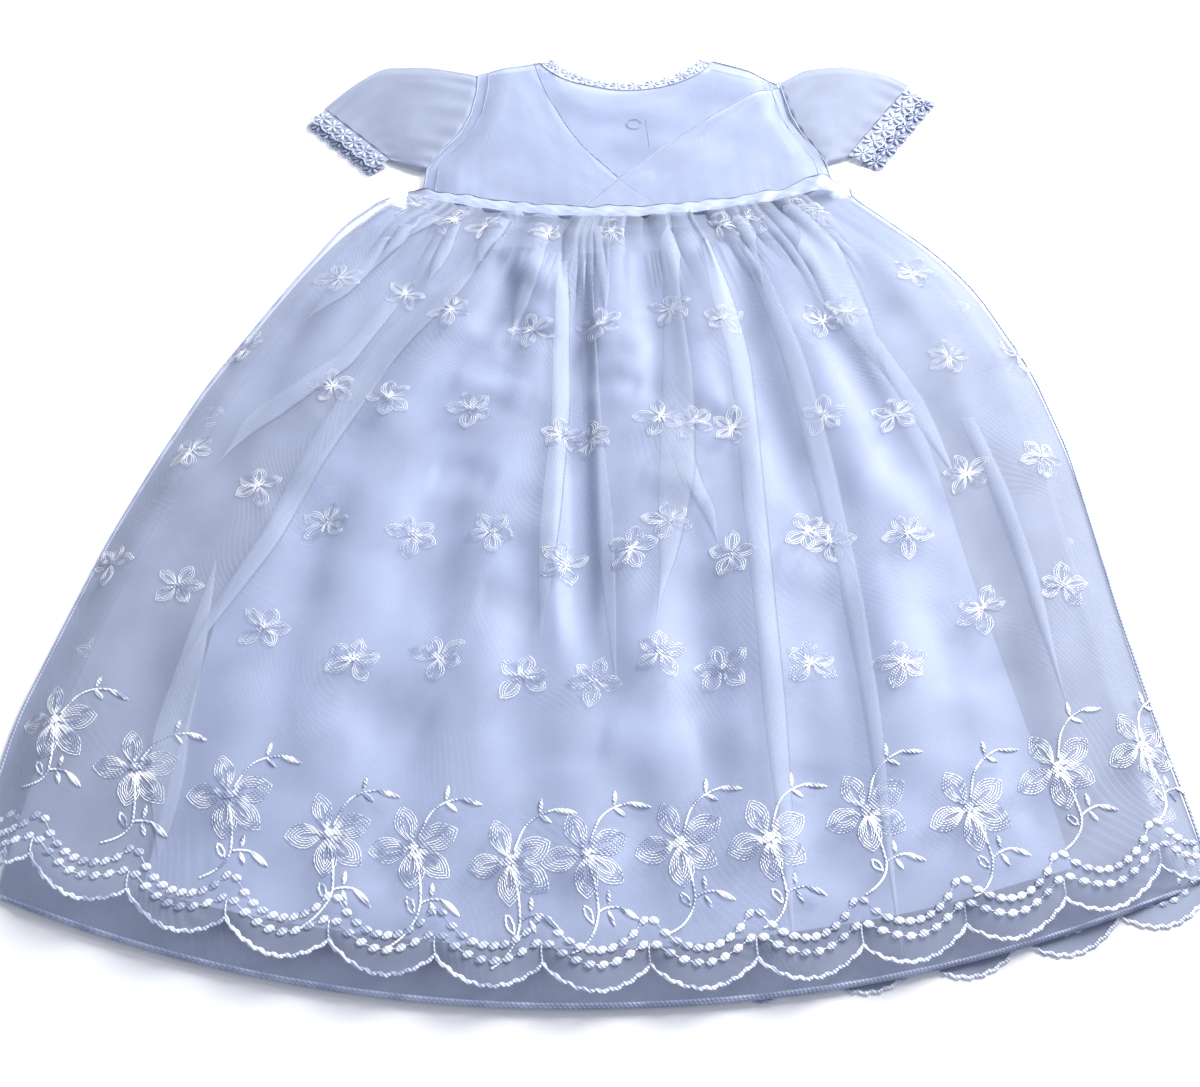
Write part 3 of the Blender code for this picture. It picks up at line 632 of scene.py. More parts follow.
def dressed(obj: bpy.types.Object, finish: Finish,
            nodes: Sequence[str] = ()) -> bpy.types.Object:
    """Gives a piece its material and its body, and hides the CAD nodes that it stands for.

    Args:
        obj: The piece.
        finish: The finish whose material it wears.
        nodes: The CAD nodes that it replaces.

    Returns:
        The piece.
    """
    obj.data.materials.clear()
    obj.data.materials.append(finish.material())
    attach(obj, "root")
    if nodes:
        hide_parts(*nodes)
    LOG.info("%s: %d faces", obj.name, len(obj.data.polygons))
    return obj


def spread(name: str, net: Net, cut: tuple[float, float], facing: Facing = Facing.UP) -> bpy.types.Object:
    """A grid shaped to a net of points, with a UV map in metres of cloth.

    Args:
        name: The piece's name.
        net: The cloth's points.
        cut: Width and length of the flat cloth.
        facing: The side that is the cloth's outside.

    Returns:
        The piece.
    """
    rows, columns = net.size
    deselect()
    bpy.ops.mesh.primitive_grid_add(x_subdivisions=columns, y_subdivisions=rows, size=1.0)
    obj = bpy.context.object
    obj.name = name
    mesh = obj.data
    flat = np.empty(len(mesh.vertices) * 3)
    mesh.vertices.foreach_get("co", flat)
    flat = flat.reshape(-1, 3)
    j = np.rint((flat[:, 0] + 0.5) * columns).astype(int)
    i = np.rint((0.5 - flat[:, 1]) * rows).astype(int)
    mesh.vertices.foreach_set("co", net.points[i, j].ravel())
    uv = mesh.uv_layers[0].uv
    flat_uv = np.empty(len(uv) * 2)
    uv.foreach_get("vector", flat_uv)
    flat_uv = flat_uv.reshape(-1, 2) * np.array(cut)
    uv.foreach_set("vector", flat_uv.ravel())
    if facing is Facing.DOWN:
        bpy.ops.object.mode_set(mode="EDIT")
        bpy.ops.mesh.select_all(action="SELECT")
        bpy.ops.mesh.flip_normals()
        bpy.ops.object.mode_set(mode="OBJECT")
    bpy.ops.object.shade_smooth()
    mesh.update()
    return obj


@dataclass
class Strand:
    """A thread's path with its half width at each point."""

    points: np.ndarray
    radii: np.ndarray
    closed: bool = False


class Needle:
    """Sews threads: gathers their paths and makes one mesh of them."""

    PROFILE = ((1.0, 0.0), (0.55, 0.8), (-0.55, 0.8), (-1.0, 0.0), (0.0, -0.4))

    def __init__(self, body: float = 0.6) -> None:
        """Starts with no thread, and keeps the height of one beside its half width."""
        self.body = body
        self.strands: list[Strand] = []

    def add(self, points: Sequence | np.ndarray, radius: Numbers, closed: bool = False) -> None:
        """Adds a thread of one radius, or of one for each point."""
        points = np.asarray(points, float)
        self.strands.append(Strand(points, np.broadcast_to(radius, len(points)), closed))

    def make(self, name: str) -> bpy.types.Object:
        """Turns the threads into one mesh.

        Args:
            name: The piece's name.

        Returns:
            The piece.
        """
        profile = bpy.data.curves.new(name + "_profile", "CURVE")
        ring = profile.splines.new("POLY")
        ring.points.add(len(self.PROFILE) - 1)
        ring.use_cyclic_u = True
        for point, (x, y) in zip(ring.points, self.PROFILE):
            point.co = (x, y * self.body, 0.0, 1.0)
        guide = bpy.data.objects.new(name + "_profile", profile)
        bpy.context.scene.collection.objects.link(guide)
        curve = bpy.data.curves.new(name, "CURVE")
        curve.dimensions = "3D"
        curve.twist_mode = "Z_UP"
        curve.bevel_mode = "OBJECT"
        curve.bevel_object = guide
        curve.use_fill_caps = True
        for strand in self.strands:
            spline = curve.splines.new("POLY")
            spline.points.add(len(strand.points) - 1)
            spline.use_cyclic_u = strand.closed
            line = np.concatenate([strand.points, np.ones((len(strand.points), 1))], axis=1)
            spline.points.foreach_set("co", line.ravel())
            spline.points.foreach_set("radius", np.ascontiguousarray(strand.radii, float))
        made = bpy.data.objects.new(name, curve)
        bpy.context.scene.collection.objects.link(made)
        deselect()
        made.select_set(True)
        bpy.context.view_layer.objects.active = made
        bpy.ops.object.convert(target="MESH")
        made = bpy.context.object
        made.name = name
        bpy.data.objects.remove(guide)
        bpy.ops.object.shade_smooth()
        return made


@dataclass(frozen=True)
class Tuck:
    """A stretch where gathered cloth lies over itself, between two edges given in the photograph."""

    left: tuple[tuple[float, float], ...]
    right: tuple[tuple[float, float], ...]
    proud: float = 0.0013


@dataclass(frozen=True)
class Crease:
    """A soft ridge, or a trough where its height is negative, between pixels of the photograph."""

    path: tuple[tuple[float, float], ...]
    width: float
    height: float


@dataclass(frozen=True)
class SkirtShape:
    """Plan of a skirt panel: its sides, its seam and its hem."""

    sides: tuple[Side, ...]
    seam_drop: float
    hem_y: float
    inset: float = 0.0
    tilt_left: float = 0.0
    tilt_right: float = 0.0

    def low_edge(self, x: Numbers) -> Numbers:
        """Height of the panel's own hem, which hangs unevenly."""
        return hem(x, self.hem_y) + x * np.where(np.asarray(x) < 0, self.tilt_left, self.tilt_right)

    def reach(self, down: Numbers) -> tuple[Numbers, Numbers]:
        """Left and right edge of the panel.

        Args:
            down: Shares from the seam to the hem.

        Returns:
            The two edges' x at each share.
        """
        low, high = self.sides[0].level, self.sides[-1].level
        level = blend(high, low, np.asarray(down))
        return read(self.sides, level, "left") + self.inset, read(self.sides, level, "right") - self.inset

    def plan(self, across: Numbers, down: Numbers) -> tuple[Numbers, Numbers]:
        """Places on the surface of shares of the panel.

        Args:
            across: Shares from the left edge to the right one.
            down: Shares from the seam to the hem.

        Returns:
            X and Y at each pair of shares.
        """
        left, right = self.reach(down)
        top_left, top_right = self.reach(0.0)
        x = blend(left, right, across)
        seam = waist(blend(top_left, top_right, across)) - self.seam_drop
        return x, blend(seam, self.low_edge(x), down)

    def locate(self, x: float, y: float) -> tuple[float, float]:
        """Shares of the panel at a place on the surface, found by steps.

        Args:
            x: The place's x.
            y: The place's y.

        Returns:
            The shares across and down.
        """
        across, down = 0.5, 0.5
        top_left, top_right = self.reach(0.0)
        for _ in range(12):
            left, right = self.reach(down)
            across = float((x - left) / (right - left))
            seam = waist(blend(top_left, top_right, across)) - self.seam_drop
            down = float(np.clip((seam - y) / (seam - self.low_edge(x)), 0.0, 1.0))
        return across, down


@dataclass(frozen=True)
class Gathers:
    """Uneven pleats that fade out below a seam."""

    count: int
    height: float
    sway: float
    fade: float


class Relief:
    """The ridges and troughs that all the front plies share."""

    LEVEL = 0.010
    LOW, HIGH = -0.0046, 0.0075

    def __init__(self, creases: Sequence[Crease]) -> None:
        """Keeps the creases by their places on the surface."""
        self.creases = [(np.array([PHOTO.on_level(px, py, self.LEVEL) for px, py in crease.path]), crease)
                        for crease in creases]

    def at(self, x: np.ndarray, y: np.ndarray) -> np.ndarray:
        """Height of the relief.

        Args:
            x: X of places on the surface.
            y: Their Y.

        Returns:
            The height at each place.
        """
        total = np.zeros_like(x)
        for spots, crease in self.creases:
            nearest, share = np.full_like(x, 1.0), np.zeros_like(x)
            for k, (start, stop) in enumerate(zip(spots, spots[1:])):
                run = stop - start
                along = ((x - start[0]) * run[0] + (y - start[1]) * run[1]) / (run @ run)
                along = np.clip(along, 0.0, 1.0)
                gap = np.hypot(x - start[0] - along * run[0], y - start[1] - along * run[1])
                closer = gap < nearest
                nearest = np.where(closer, gap, nearest)
                share = np.where(closer, (k + along) / (len(spots) - 1), share)
            ends = ease(share / 0.25 + 0.3) * ease((1 - share) / 0.25 + 0.2)
            total += crease.height * hump(nearest / crease.width) * ends
        high = self.HIGH * np.tanh(np.maximum(total, 0) / self.HIGH)
        return high + self.LOW * np.tanh(np.minimum(total, 0) / self.LOW)


@dataclass
class SkirtPly:
    """One gathered ply of the skirt."""

    shape: SkirtShape
    inside: float
    at_side: float
    at_waist: float
    relief: Relief | None = None
    gathers: Gathers | None = None
    crumple: float = 0.0
    rows: int = 150
    columns: int = 320
    settle: float = 0.66
    swirl: float = 0.5

    ROLL, RELIEF_ROLL = 0.022, 0.05
    WAIST_LIFT = 0.032
    SETTLE_ABOVE, SETTLE_OVER = 0.012, 0.024
    WAVES, WAVE_LENGTHS = 14, (0.03, 0.11)

    def net(self, scallop: float = 0.0, seed: int = SEED) -> Net:
        """Points of the ply.

        Args:
            scallop: Column of the first cusp at the hem, or 0 for a plain hem.
            seed: Start of the small wrinkles.

        Returns:
            The net.
        """
        down = np.linspace(0.0, 1.0, self.rows + 1)[:, None]
        across = np.linspace(0.0, 1.0, self.columns + 1)[None, :] + 0 * down
        left, right = self.shape.reach(down)
        width = right - left
        lift = np.zeros_like(across)
        if self.gathers:
            lift, across = self.gathered(across, down, width, seed)
        x, y = self.shape.plan(across, down)
        inward = ease(np.minimum(across, 1 - across) * width / self.ROLL)
        full = blend(self.at_waist, self.inside, ease((waist(x) - y) / self.WAIST_LIFT))
        z = blend(self.at_side, full, inward) + lift * inward
        if self.relief:
            wide = ease(np.minimum(across, 1 - across) * width / self.RELIEF_ROLL)
            z += self.relief.at(x, y) * wide
        z += self.crumpled(x, y, seed) * inward
        z *= 1 - self.settle * ease((self.SETTLE_ABOVE - (y - hem(x))) / self.SETTLE_OVER)
        if scallop:
            phase = (across * HEM_COLUMNS - scallop) / SCALLOP_COLUMNS
            reach = SCALLOP_DEPTH * np.abs(np.sin(np.pi * phase)) ** SCALLOP_POWER
            y = y - reach * ease((down - SCALLOP_FROM) / (1 - SCALLOP_FROM))
        return Net(np.stack([x, y, z], axis=-1))

    def gathered(self, raw: np.ndarray, down: np.ndarray, width: np.ndarray,
                 seed: int) -> tuple[np.ndarray, np.ndarray]:
        """Pleats under the seam.

        Args:
            raw: Shares across before the pleats.
            down: Shares down.
            width: Width of each row.
            seed: Start of the uneven spacing.

        Returns:
            The pleats' height and the shares across.
        """
        dice = np.random.default_rng(seed)
        gathers = self.gathers
        bends = sum(size * np.sin(2 * np.pi * (k * raw + dice.random()))
                    for k, size in ((3, 1.1), (7, 0.42), (12, 0.22)))
        phase = 2 * np.pi * (raw * gathers.count + bends)
        uneven = 0.5 + 0.5 * np.sin(2 * np.pi * (raw * 9.7 + 0.2)) * np.sin(2 * np.pi * (raw * 4.1 + 0.6))
        length = gathers.fade * (0.35 + 0.65 * uneven)
        fade = (1 - ease((down - 0.01) / length)) * ease(down / 0.015 + 0.3)
        ridge = (0.5 + 0.5 * np.cos(phase)) ** 1.5
        lift = gathers.height * (0.45 + 0.55 * uneven) * ridge * fade
        return lift, raw + gathers.sway / width * np.sin(phase) * fade

    def crumpled(self, x: np.ndarray, y: np.ndarray, seed: int) -> np.ndarray:
        """Small uneven waves all over the cloth.

        Args:
            x: X of places on the surface.
            y: Their Y.
            seed: Start of the unevenness.

        Returns:
            The waves' height at each place.
        """
        dice = np.random.default_rng(seed + 1)
        total = np.zeros_like(x)
        for _ in range(self.WAVES):
            length = dice.uniform(*self.WAVE_LENGTHS)
            turn = dice.normal(0.0, self.swirl)
            phase = dice.uniform(0, 2 * np.pi)
            total += np.sin(2 * np.pi / length * (x * np.cos(turn) + y * np.sin(turn)) + phase)
        return self.crumple * total / math.sqrt(self.WAVES)


# Each ply's own hem line, as the photo shows it
FRONT_SHAPE = SkirtShape(SKIRT_SIDES, 0.0002, HEM_Y + 0.003, 0.0, -0.022, -0.022)
BACK_SHAPE = SkirtShape(SKIRT_SIDES, RIBBON_WIDTH / 2 + 0.0004, HEM_Y + 0.002, 0.0, -0.025, -0.075)
PETTICOAT_SHAPE = SkirtShape(SKIRT_SIDES, 0.0004, HEM_Y - 0.0095, 0.014, 0.0, -0.014)
PETTICOAT_BACK_SHAPE = SkirtShape(SKIRT_SIDES, 0.0004, HEM_Y - 0.0100, 0.014, 0.0, -0.014)
SATIN_SHAPE = SkirtShape(SATIN_SIDES, 0.032, -0.420)
SATIN_BACK_SHAPE = SkirtShape(SATIN_SIDES, 0.032, -0.416)

# Both edges of each tuck, in pixels of the photo from the waist down
TUCKS = (
    Tuck(((664, 225), (664, 300), (663, 380), (660, 470), (656, 560), (653, 627)),
         ((678, 226), (681, 300), (694, 380), (697, 470), (680, 560), (655, 627))),
    Tuck(((668, 440), (680, 480), (700, 510), (714, 542)),
         ((690, 440), (702, 478), (716, 510), (722, 545))),
    Tuck(((696, 240), (711, 296), (730, 360), (738, 440), (745, 520), (756, 620), (763, 700), (776, 830),
          (786, 950)),
         ((712, 240), (735, 300), (752, 360), (760, 440), (768, 520), (778, 620), (786, 700), (797, 830),
          (800, 950))),
    Tuck(((749, 270), (784, 357), (803, 439), (839, 576), (865, 716), (895, 945)),
         ((765, 268), (806, 357), (828, 439), (860, 576), (882, 716), (905, 945))),
    Tuck(((787, 206), (808, 270), (836, 322), (890, 391)),
         ((815, 206), (838, 242), (862, 290), (895, 380))),
    Tuck(((857, 333), (905, 405), (957, 486)), ((872, 328), (925, 400), (962, 484))),
    Tuck(((960, 420), (989, 487), (1018, 565), (1063, 703)),
         ((975, 418), (1008, 487), (1036, 565), (1068, 700))),
    Tuck(((424, 216), (382, 239), (327, 291), (300, 321)),
         ((440, 218), (400, 246), (345, 298), (305, 324))),
    Tuck(((389, 296), (341, 353), (240, 420), (215, 464)),
         ((399, 306), (352, 366), (255, 435), (218, 466))),
    Tuck(((493, 220), (454, 275), (380, 337), (305, 450), (265, 529), (200, 620), (161, 700)),
         ((507, 222), (470, 285), (402, 350), (325, 462), (282, 540), (214, 630), (164, 702))),
    Tuck(((215, 560), (183, 650), (154, 730), (140, 850)),
         ((217, 560), (206, 650), (190, 730), (178, 862)), 0.0004),
    Tuck(((536, 225), (528, 262), (515, 300), (508, 345)),
         ((548, 226), (544, 262), (530, 300), (511, 345))),
    Tuck(((596, 228), (598, 270), (604, 320)), ((612, 228), (613, 270), (606, 320))),
    Tuck(((558, 262), (553, 340), (552, 410), (540, 520), (531, 640)),
         ((570, 262), (570, 340), (571, 410), (561, 520), (548, 640)), 0.0004),
    Tuck(((582, 262), (582, 340), (583, 410), (596, 520), (611, 690)),
         ((592, 262), (596, 340), (601, 410), (613, 520), (622, 690)), 0.0004),
    Tuck(((455, 222), (440, 250), (425, 285)), ((466, 224), (455, 252), (429, 286))),
    Tuck(((735, 216), (742, 250), (760, 290)), ((748, 214), (758, 248), (766, 288))),
)
# Ridges and troughs: half width and height in mm, and the middle line in pixels of the photo
CREASES = tuple(Crease(tuple(path), width * MM, height * MM) for width, height, *path in (
    (18, 2.8, (535, 255), (540, 330), (530, 420)),
    (11, -7.5, (576, 255), (577, 420), (578, 520), (580, 660)),
    (15, -1.5, (590, 540), (600, 620), (606, 700)),
    (9, -3, (430, 296), (468, 276), (506, 256)),
    (13, 2.8, (512, 268), (540, 282), (562, 303)),
    (12, -2.6, (514, 328), (540, 336), (566, 344)),
    (13, 2, (437, 330), (470, 334), (506, 342)),
    (14, 2.3, (452, 382), (490, 390), (530, 402)),
    (15, -2.2, (430, 472), (462, 476), (498, 484)),
    (11, -2.4, (588, 388), (615, 382), (642, 390)),
    (12, 1.8, (592, 346), (620, 340), (652, 350)),
    (16, 1.7, (500, 522), (530, 530), (562, 545)),
    (17, -1.7, (476, 600), (510, 604), (545, 612)),
    (13, -2, (700, 418), (730, 428), (762, 440)),
    (14, 1.8, (640, 478), (672, 486), (704, 500)),
    (18, 1.8, (770, 560), (810, 572), (850, 590)),
    (20, 1.5, (600, 742), (650, 750), (700, 744)),
    (20, -1.5, (340, 700), (390, 715), (430, 735)),
    (16, -3.2, (282, 488), (300, 510), (322, 548)),
    (16, -2, (318, 420), (350, 400), (385, 372)),
    (21, 2.8, (612, 255), (617, 340), (627, 420)),
    (11, -2.6, (506, 255), (502, 300), (478, 345)),
    (21, 2.6, (470, 275), (425, 360), (375, 440)),
    (16, -1.4, (565, 315), (540, 345), (500, 362)),
    (16, -2, (655, 290), (665, 370), (640, 402)),
    (18, 2.5, (690, 250), (700, 340), (715, 430)),
    (15, -2.6, (735, 250), (745, 330), (775, 430), (800, 520)),
    (21, 2.6, (768, 250), (800, 330), (850, 430), (880, 520)),
    (14, -2, (800, 300), (870, 400), (915, 500)),
    (23, -2, (330, 470), (300, 540), (280, 620)),
    (25, 2.6, (400, 450), (360, 560), (330, 680), (310, 800)),
    (21, -2.2, (455, 440), (430, 540), (415, 640)),
    (23, 2.6, (500, 440), (490, 540), (480, 640), (470, 760)),
    (21, -2, (530, 600), (525, 700), (520, 800)),
    (16, 2, (545, 480), (538, 580)),
    (25, 2.6, (640, 440), (645, 560), (650, 680), (655, 800)),
    (21, -2, (690, 560), (700, 680), (705, 800)),
    (25, 2.6, (740, 500), (750, 620), (760, 760), (765, 880)),
    (21, -2.4, (820, 450), (835, 560), (845, 680)),
    (25, 2.6, (880, 560), (900, 680), (915, 800)),
    (21, -2, (945, 600), (965, 700)),
    (23, 2, (250, 640), (235, 740), (225, 840)),
    (23, -2, (400, 700), (395, 800), (390, 900)),
    (25, 2, (580, 760), (580, 900)),
    (21, -1.4, (632, 800), (642, 930)),
    (23, -2, (810, 760), (820, 900)),
    (23, 1.9, (270, 330), (205, 440), (150, 560)),
    (16, -1.4, (305, 300), (255, 400), (212, 500)),
    (18, 1.9, (350, 260), (330, 330), (290, 420)),
    (21, -1.6, (180, 560), (150, 660), (130, 760)),
    (21, 2, (860, 230), (930, 320), (960, 400)),
    (14, -1.5, (890, 250), (960, 350), (1000, 450)),
    (23, 2, (960, 330), (1015, 450), (1045, 560)),
    (18, -2, (925, 400), (978, 520), (1003, 640)),
    (21, 1.7, (1030, 560), (1060, 700), (1080, 820)),
    (18, -1.6, (1000, 660), (1030, 780)),
))


@dataclass(frozen=True)
class Petal:
    """A petal of nested stitched outlines: the place of its tip, its width and its outlines."""

    tip: tuple[float, float]
    width: float
    loops: int


@dataclass(frozen=True)
class Leaf:
    """A leaf of satin stitch from its foot to its tip."""

    foot: tuple[float, float]
    tip: tuple[float, float]
    width: float


class Motif:
    """Flowers, stems and leaves in millimetres around a flower's centre, x right and y to the waist."""

    SMALL = ((80, 12.5, 8.0), (150, 12.5, 7.0), (10, 13.5, 7.6), (212, 12.5, 7.4), (292, 13.5, 8.2))
    BORDER = (
        Petal((-6.5, 16.5), 9.0, 4),
        Petal((17.0, 8.5), 10.8, 5),
        Petal((-17.5, -4.5), 10.8, 5),
        Petal((15.2, -11.0), 10.4, 5),
        Petal((0.5, -18.0), 9.8, 5),
    )
    STEMS = (
        ((2.0, 4.0), (3.4, 8.0), (4.8, 12.5), (7.5, 16.6), (11.5, 19.6), (15.0, 21.2), (18.0, 21.8)),
        ((0.8, -3.0), (2.6, -8.0), (4.0, -14.0), (4.6, -19.0), (4.8, -22.5)),
        ((4.8, -22.5), (6.2, -21.6), (8.0, -21.0), (10.5, -20.5), (13.0, -20.5)),
        ((4.8, -22.5), (4.2, -25.5), (2.4, -28.5), (-1.0, -31.4), (-5.8, -33.5)),
    )
    LEAVES = (
        Leaf((17.5, 22.0), (27.5, 20.0), 2.6),
        Leaf((12.0, 20.8), (12.2, 27.0), 2.1),
        Leaf((12.0, 19.6), (17.0, 16.4), 2.2),
        Leaf((13.0, -20.5), (20.5, -25.0), 2.7),
        Leaf((9.0, -19.4), (9.0, -14.2), 2.0),
        Leaf((8.6, -21.8), (11.0, -26.5), 2.0),
    )
    LOOP_LEAF = Petal((-0.8, -20.6), 2.6, 1)
    LOOP_FOOT = (2.6, -25.6)
    # Threads are drawn 0.3 to 0.4 mm thick, because the real 0.15 mm is finer than a pixel
    THREAD, FINE = 0.19, 0.8
    STEM, LOOP = 0.48, 0.42
    FOOT_STEP, LOOP_STEP, POINTED, WIDE_AT_TIP, HAND = 0.025, 0.105, 2.1, 0.24, 0.06
    TURN, SWAY, LENGTHS, WIDTHS = 28, 15, (0.82, 1.1), (0.82, 1.05)

    def __init__(self, seed: int) -> None:
        """Starts the unevenness of the hand."""
        self.dice = np.random.default_rng(seed)

    def petal(self, foot: Sequence[float], tip: Sequence[float], width: float, loops: int,
              steps: int) -> list[Strand]:
        """Nested outlines of one petal.

        Args:
            foot: Where the petal starts.
            tip: Where its outermost outline ends.
            width: Width of the outermost outline.
            loops: Number of outlines.
            steps: Points on an outline.

        Returns:
            The outlines as closed strands.
        """
        foot, tip = np.array(foot, float), np.array(tip, float)
        run = tip - foot
        side = np.array([-run[1], run[0]]) / np.linalg.norm(run)
        made = []
        for k in range(loops):
            share = 1 - k / (loops + 0.2)
            turn = np.linspace(0, 2 * np.pi, steps, endpoint=False)
            along = self.FOOT_STEP * k + (1 - self.LOOP_STEP * k) * (0.5 - 0.5 * np.cos(turn))
            out = width / 2 * share * np.sign(np.sin(turn)) * np.abs(np.sin(turn)) ** self.POINTED
            out = out * (1.0 - self.WIDE_AT_TIP * np.cos(turn))
            wobble = self.dice.normal(0.0, self.HAND, (steps, 2))
            line = foot + along[:, None] * run + out[:, None] * side + wobble
            made.append(Strand(line, np.full(steps, self.THREAD * self.dice.uniform(0.8, 1.15)), True))
        return made

    def leaf(self, leaf: Leaf, steps: int = 7) -> Strand:
        """A leaf as one fat tapered strand.

        Args:
            leaf: Its foot, tip and width.
            steps: Points along it.

        Returns:
            The strand.
        """
        share = np.linspace(0.0, 1.0, steps)[:, None]
        line = blend(np.array(leaf.foot), np.array(leaf.tip), share)
        body = np.sin(np.pi * np.clip(share[:, 0] * 0.92 + 0.06, 0, 1)) ** 0.75
        return Strand(line, leaf.width / 2 * np.maximum(body, 0.12))

    def small(self, steps: int = 16, loops: int = 3) -> list[Strand]:
        """A scattered flower of five petals round a knot.

        Args:
            steps: Points on a petal's outline.
            loops: Outlines of a petal.

        Returns:
            The flower's strands.
        """
        turn = math.radians(self.dice.uniform(-self.TURN, self.TURN))
        flip = self.dice.choice((-1, 1))
        made = []
        for angle, length, width in self.SMALL:
            bearing = math.radians(angle + self.dice.uniform(-self.SWAY, self.SWAY)) * flip + turn
            if flip < 0:
                bearing += math.pi
            size = length * self.dice.uniform(*self.LENGTHS)
            ray = np.array([math.cos(bearing), math.sin(bearing)])
            full = width * self.dice.uniform(*self.WIDTHS)
            made += [Strand(line.points, line.radii * self.FINE, True)
                     for line in self.petal(ray, ray * size, full, loops, steps)]
        return made + self.knot(1.6)

    def knot(self, size: float) -> list[Strand]:
        """A heap of short satin stitches in a flower's middle.

        Args:
            size: Half its length in millimetres.

        Returns:
            The stitches.
        """
        made = []
        for k in (-1, 0, 1):
            bearing = math.radians(35 + self.dice.uniform(-self.SWAY, self.SWAY))
            ray = np.array([math.cos(bearing), math.sin(bearing)])
            side = np.array([-ray[1], ray[0]]) * k * size * 0.34
            share = np.linspace(-1, 1, 5)[:, None]
            half = size * (1.0 if k == 0 else 0.8)
            radii = size * 0.30 * np.sqrt(np.maximum(1 - share[:, 0] ** 2, 0.04))
            made.append(Strand(side + share * ray * half, radii))
        return made

    def border(self, steps: int = 20) -> list[Strand]:
        """A border flower with its two sprigs of stems and leaves.

        Args:
            steps: Points on a petal's outline.

        Returns:
            The flower's strands.
        """
        made = []
        for petal in self.BORDER:
            tip = np.array(petal.tip) * self.dice.uniform(0.94, 1.05)
            foot = tip / np.linalg.norm(tip) * 1.6
            made += self.petal(foot, tip, petal.width * self.dice.uniform(0.88, 1.06), petal.loops, steps)
        made += self.knot(3.0)
        for stem in self.STEMS:
            line = smooth_line(np.array(stem), 14)
            made.append(Strand(line, np.full(len(line), self.STEM)))
        made += [self.leaf(leaf) for leaf in self.LEAVES]
        loop = self.petal(self.LOOP_FOOT, self.LOOP_LEAF.tip, self.LOOP_LEAF.width, 1, 14)[0]
        made.append(Strand(loop.points, np.full(len(loop.points), self.LOOP), True))
        return made


def smooth_line(points: np.ndarray, steps: int) -> np.ndarray:
    """A soft curve through given points.

    Args:
        points: The points.
        steps: Number of stretches in the result.

    Returns:
        The curve's points.
    """
    run = np.concatenate([[0], np.cumsum(np.linalg.norm(np.diff(points, axis=0), axis=1))])
    even = np.linspace(0, run[-1], steps + 1)
    line = np.stack([np.interp(even, run, points[:, k]) for k in range(points.shape[1])], axis=-1)
    for _ in range(2):
        line[1:-1] = (line[:-2] + 2 * line[1:-1] + line[2:]) / 4
    return line


class Embroidery:
    """Sews motifs onto a net of cloth."""

    def __init__(self, net: Net, lift: float) -> None:
        """Keeps the cloth and threads a needle.

        Args:
            net: The cloth's points.
            lift: The thread's height above it.
        """
        self.net = net
        self.lift = lift
        self.widths = net.widths()
        self.needle = Needle(0.32)

    def place(self, middle: tuple[float, float], spots: np.ndarray) -> np.ndarray:
        """Points of the cloth at millimetres from a place on it.

        Args:
            middle: Shares across and down of the motif's centre.
            spots: Millimetres right and towards the waist.

        Returns:
            Points above the cloth.
        """
        across, down = middle
        height = float(self.net.height(np.array([across]))[0])
        row = min(int(max(down, 0) * self.net.size[0]), self.net.size[0])
        run = spots * MM
        points = self.net.at(across + run[:, 0] / self.widths[row], down - run[:, 1] / height)
        points[:, 2] += self.lift
        return points

    def sew(self, middle: tuple[float, float], strands: Sequence[Strand]) -> None:
        """Adds a motif's strands at a place on the cloth."""
        for strand in strands:
            self.needle.add(self.place(middle, strand.points), strand.radii * MM, strand.closed)


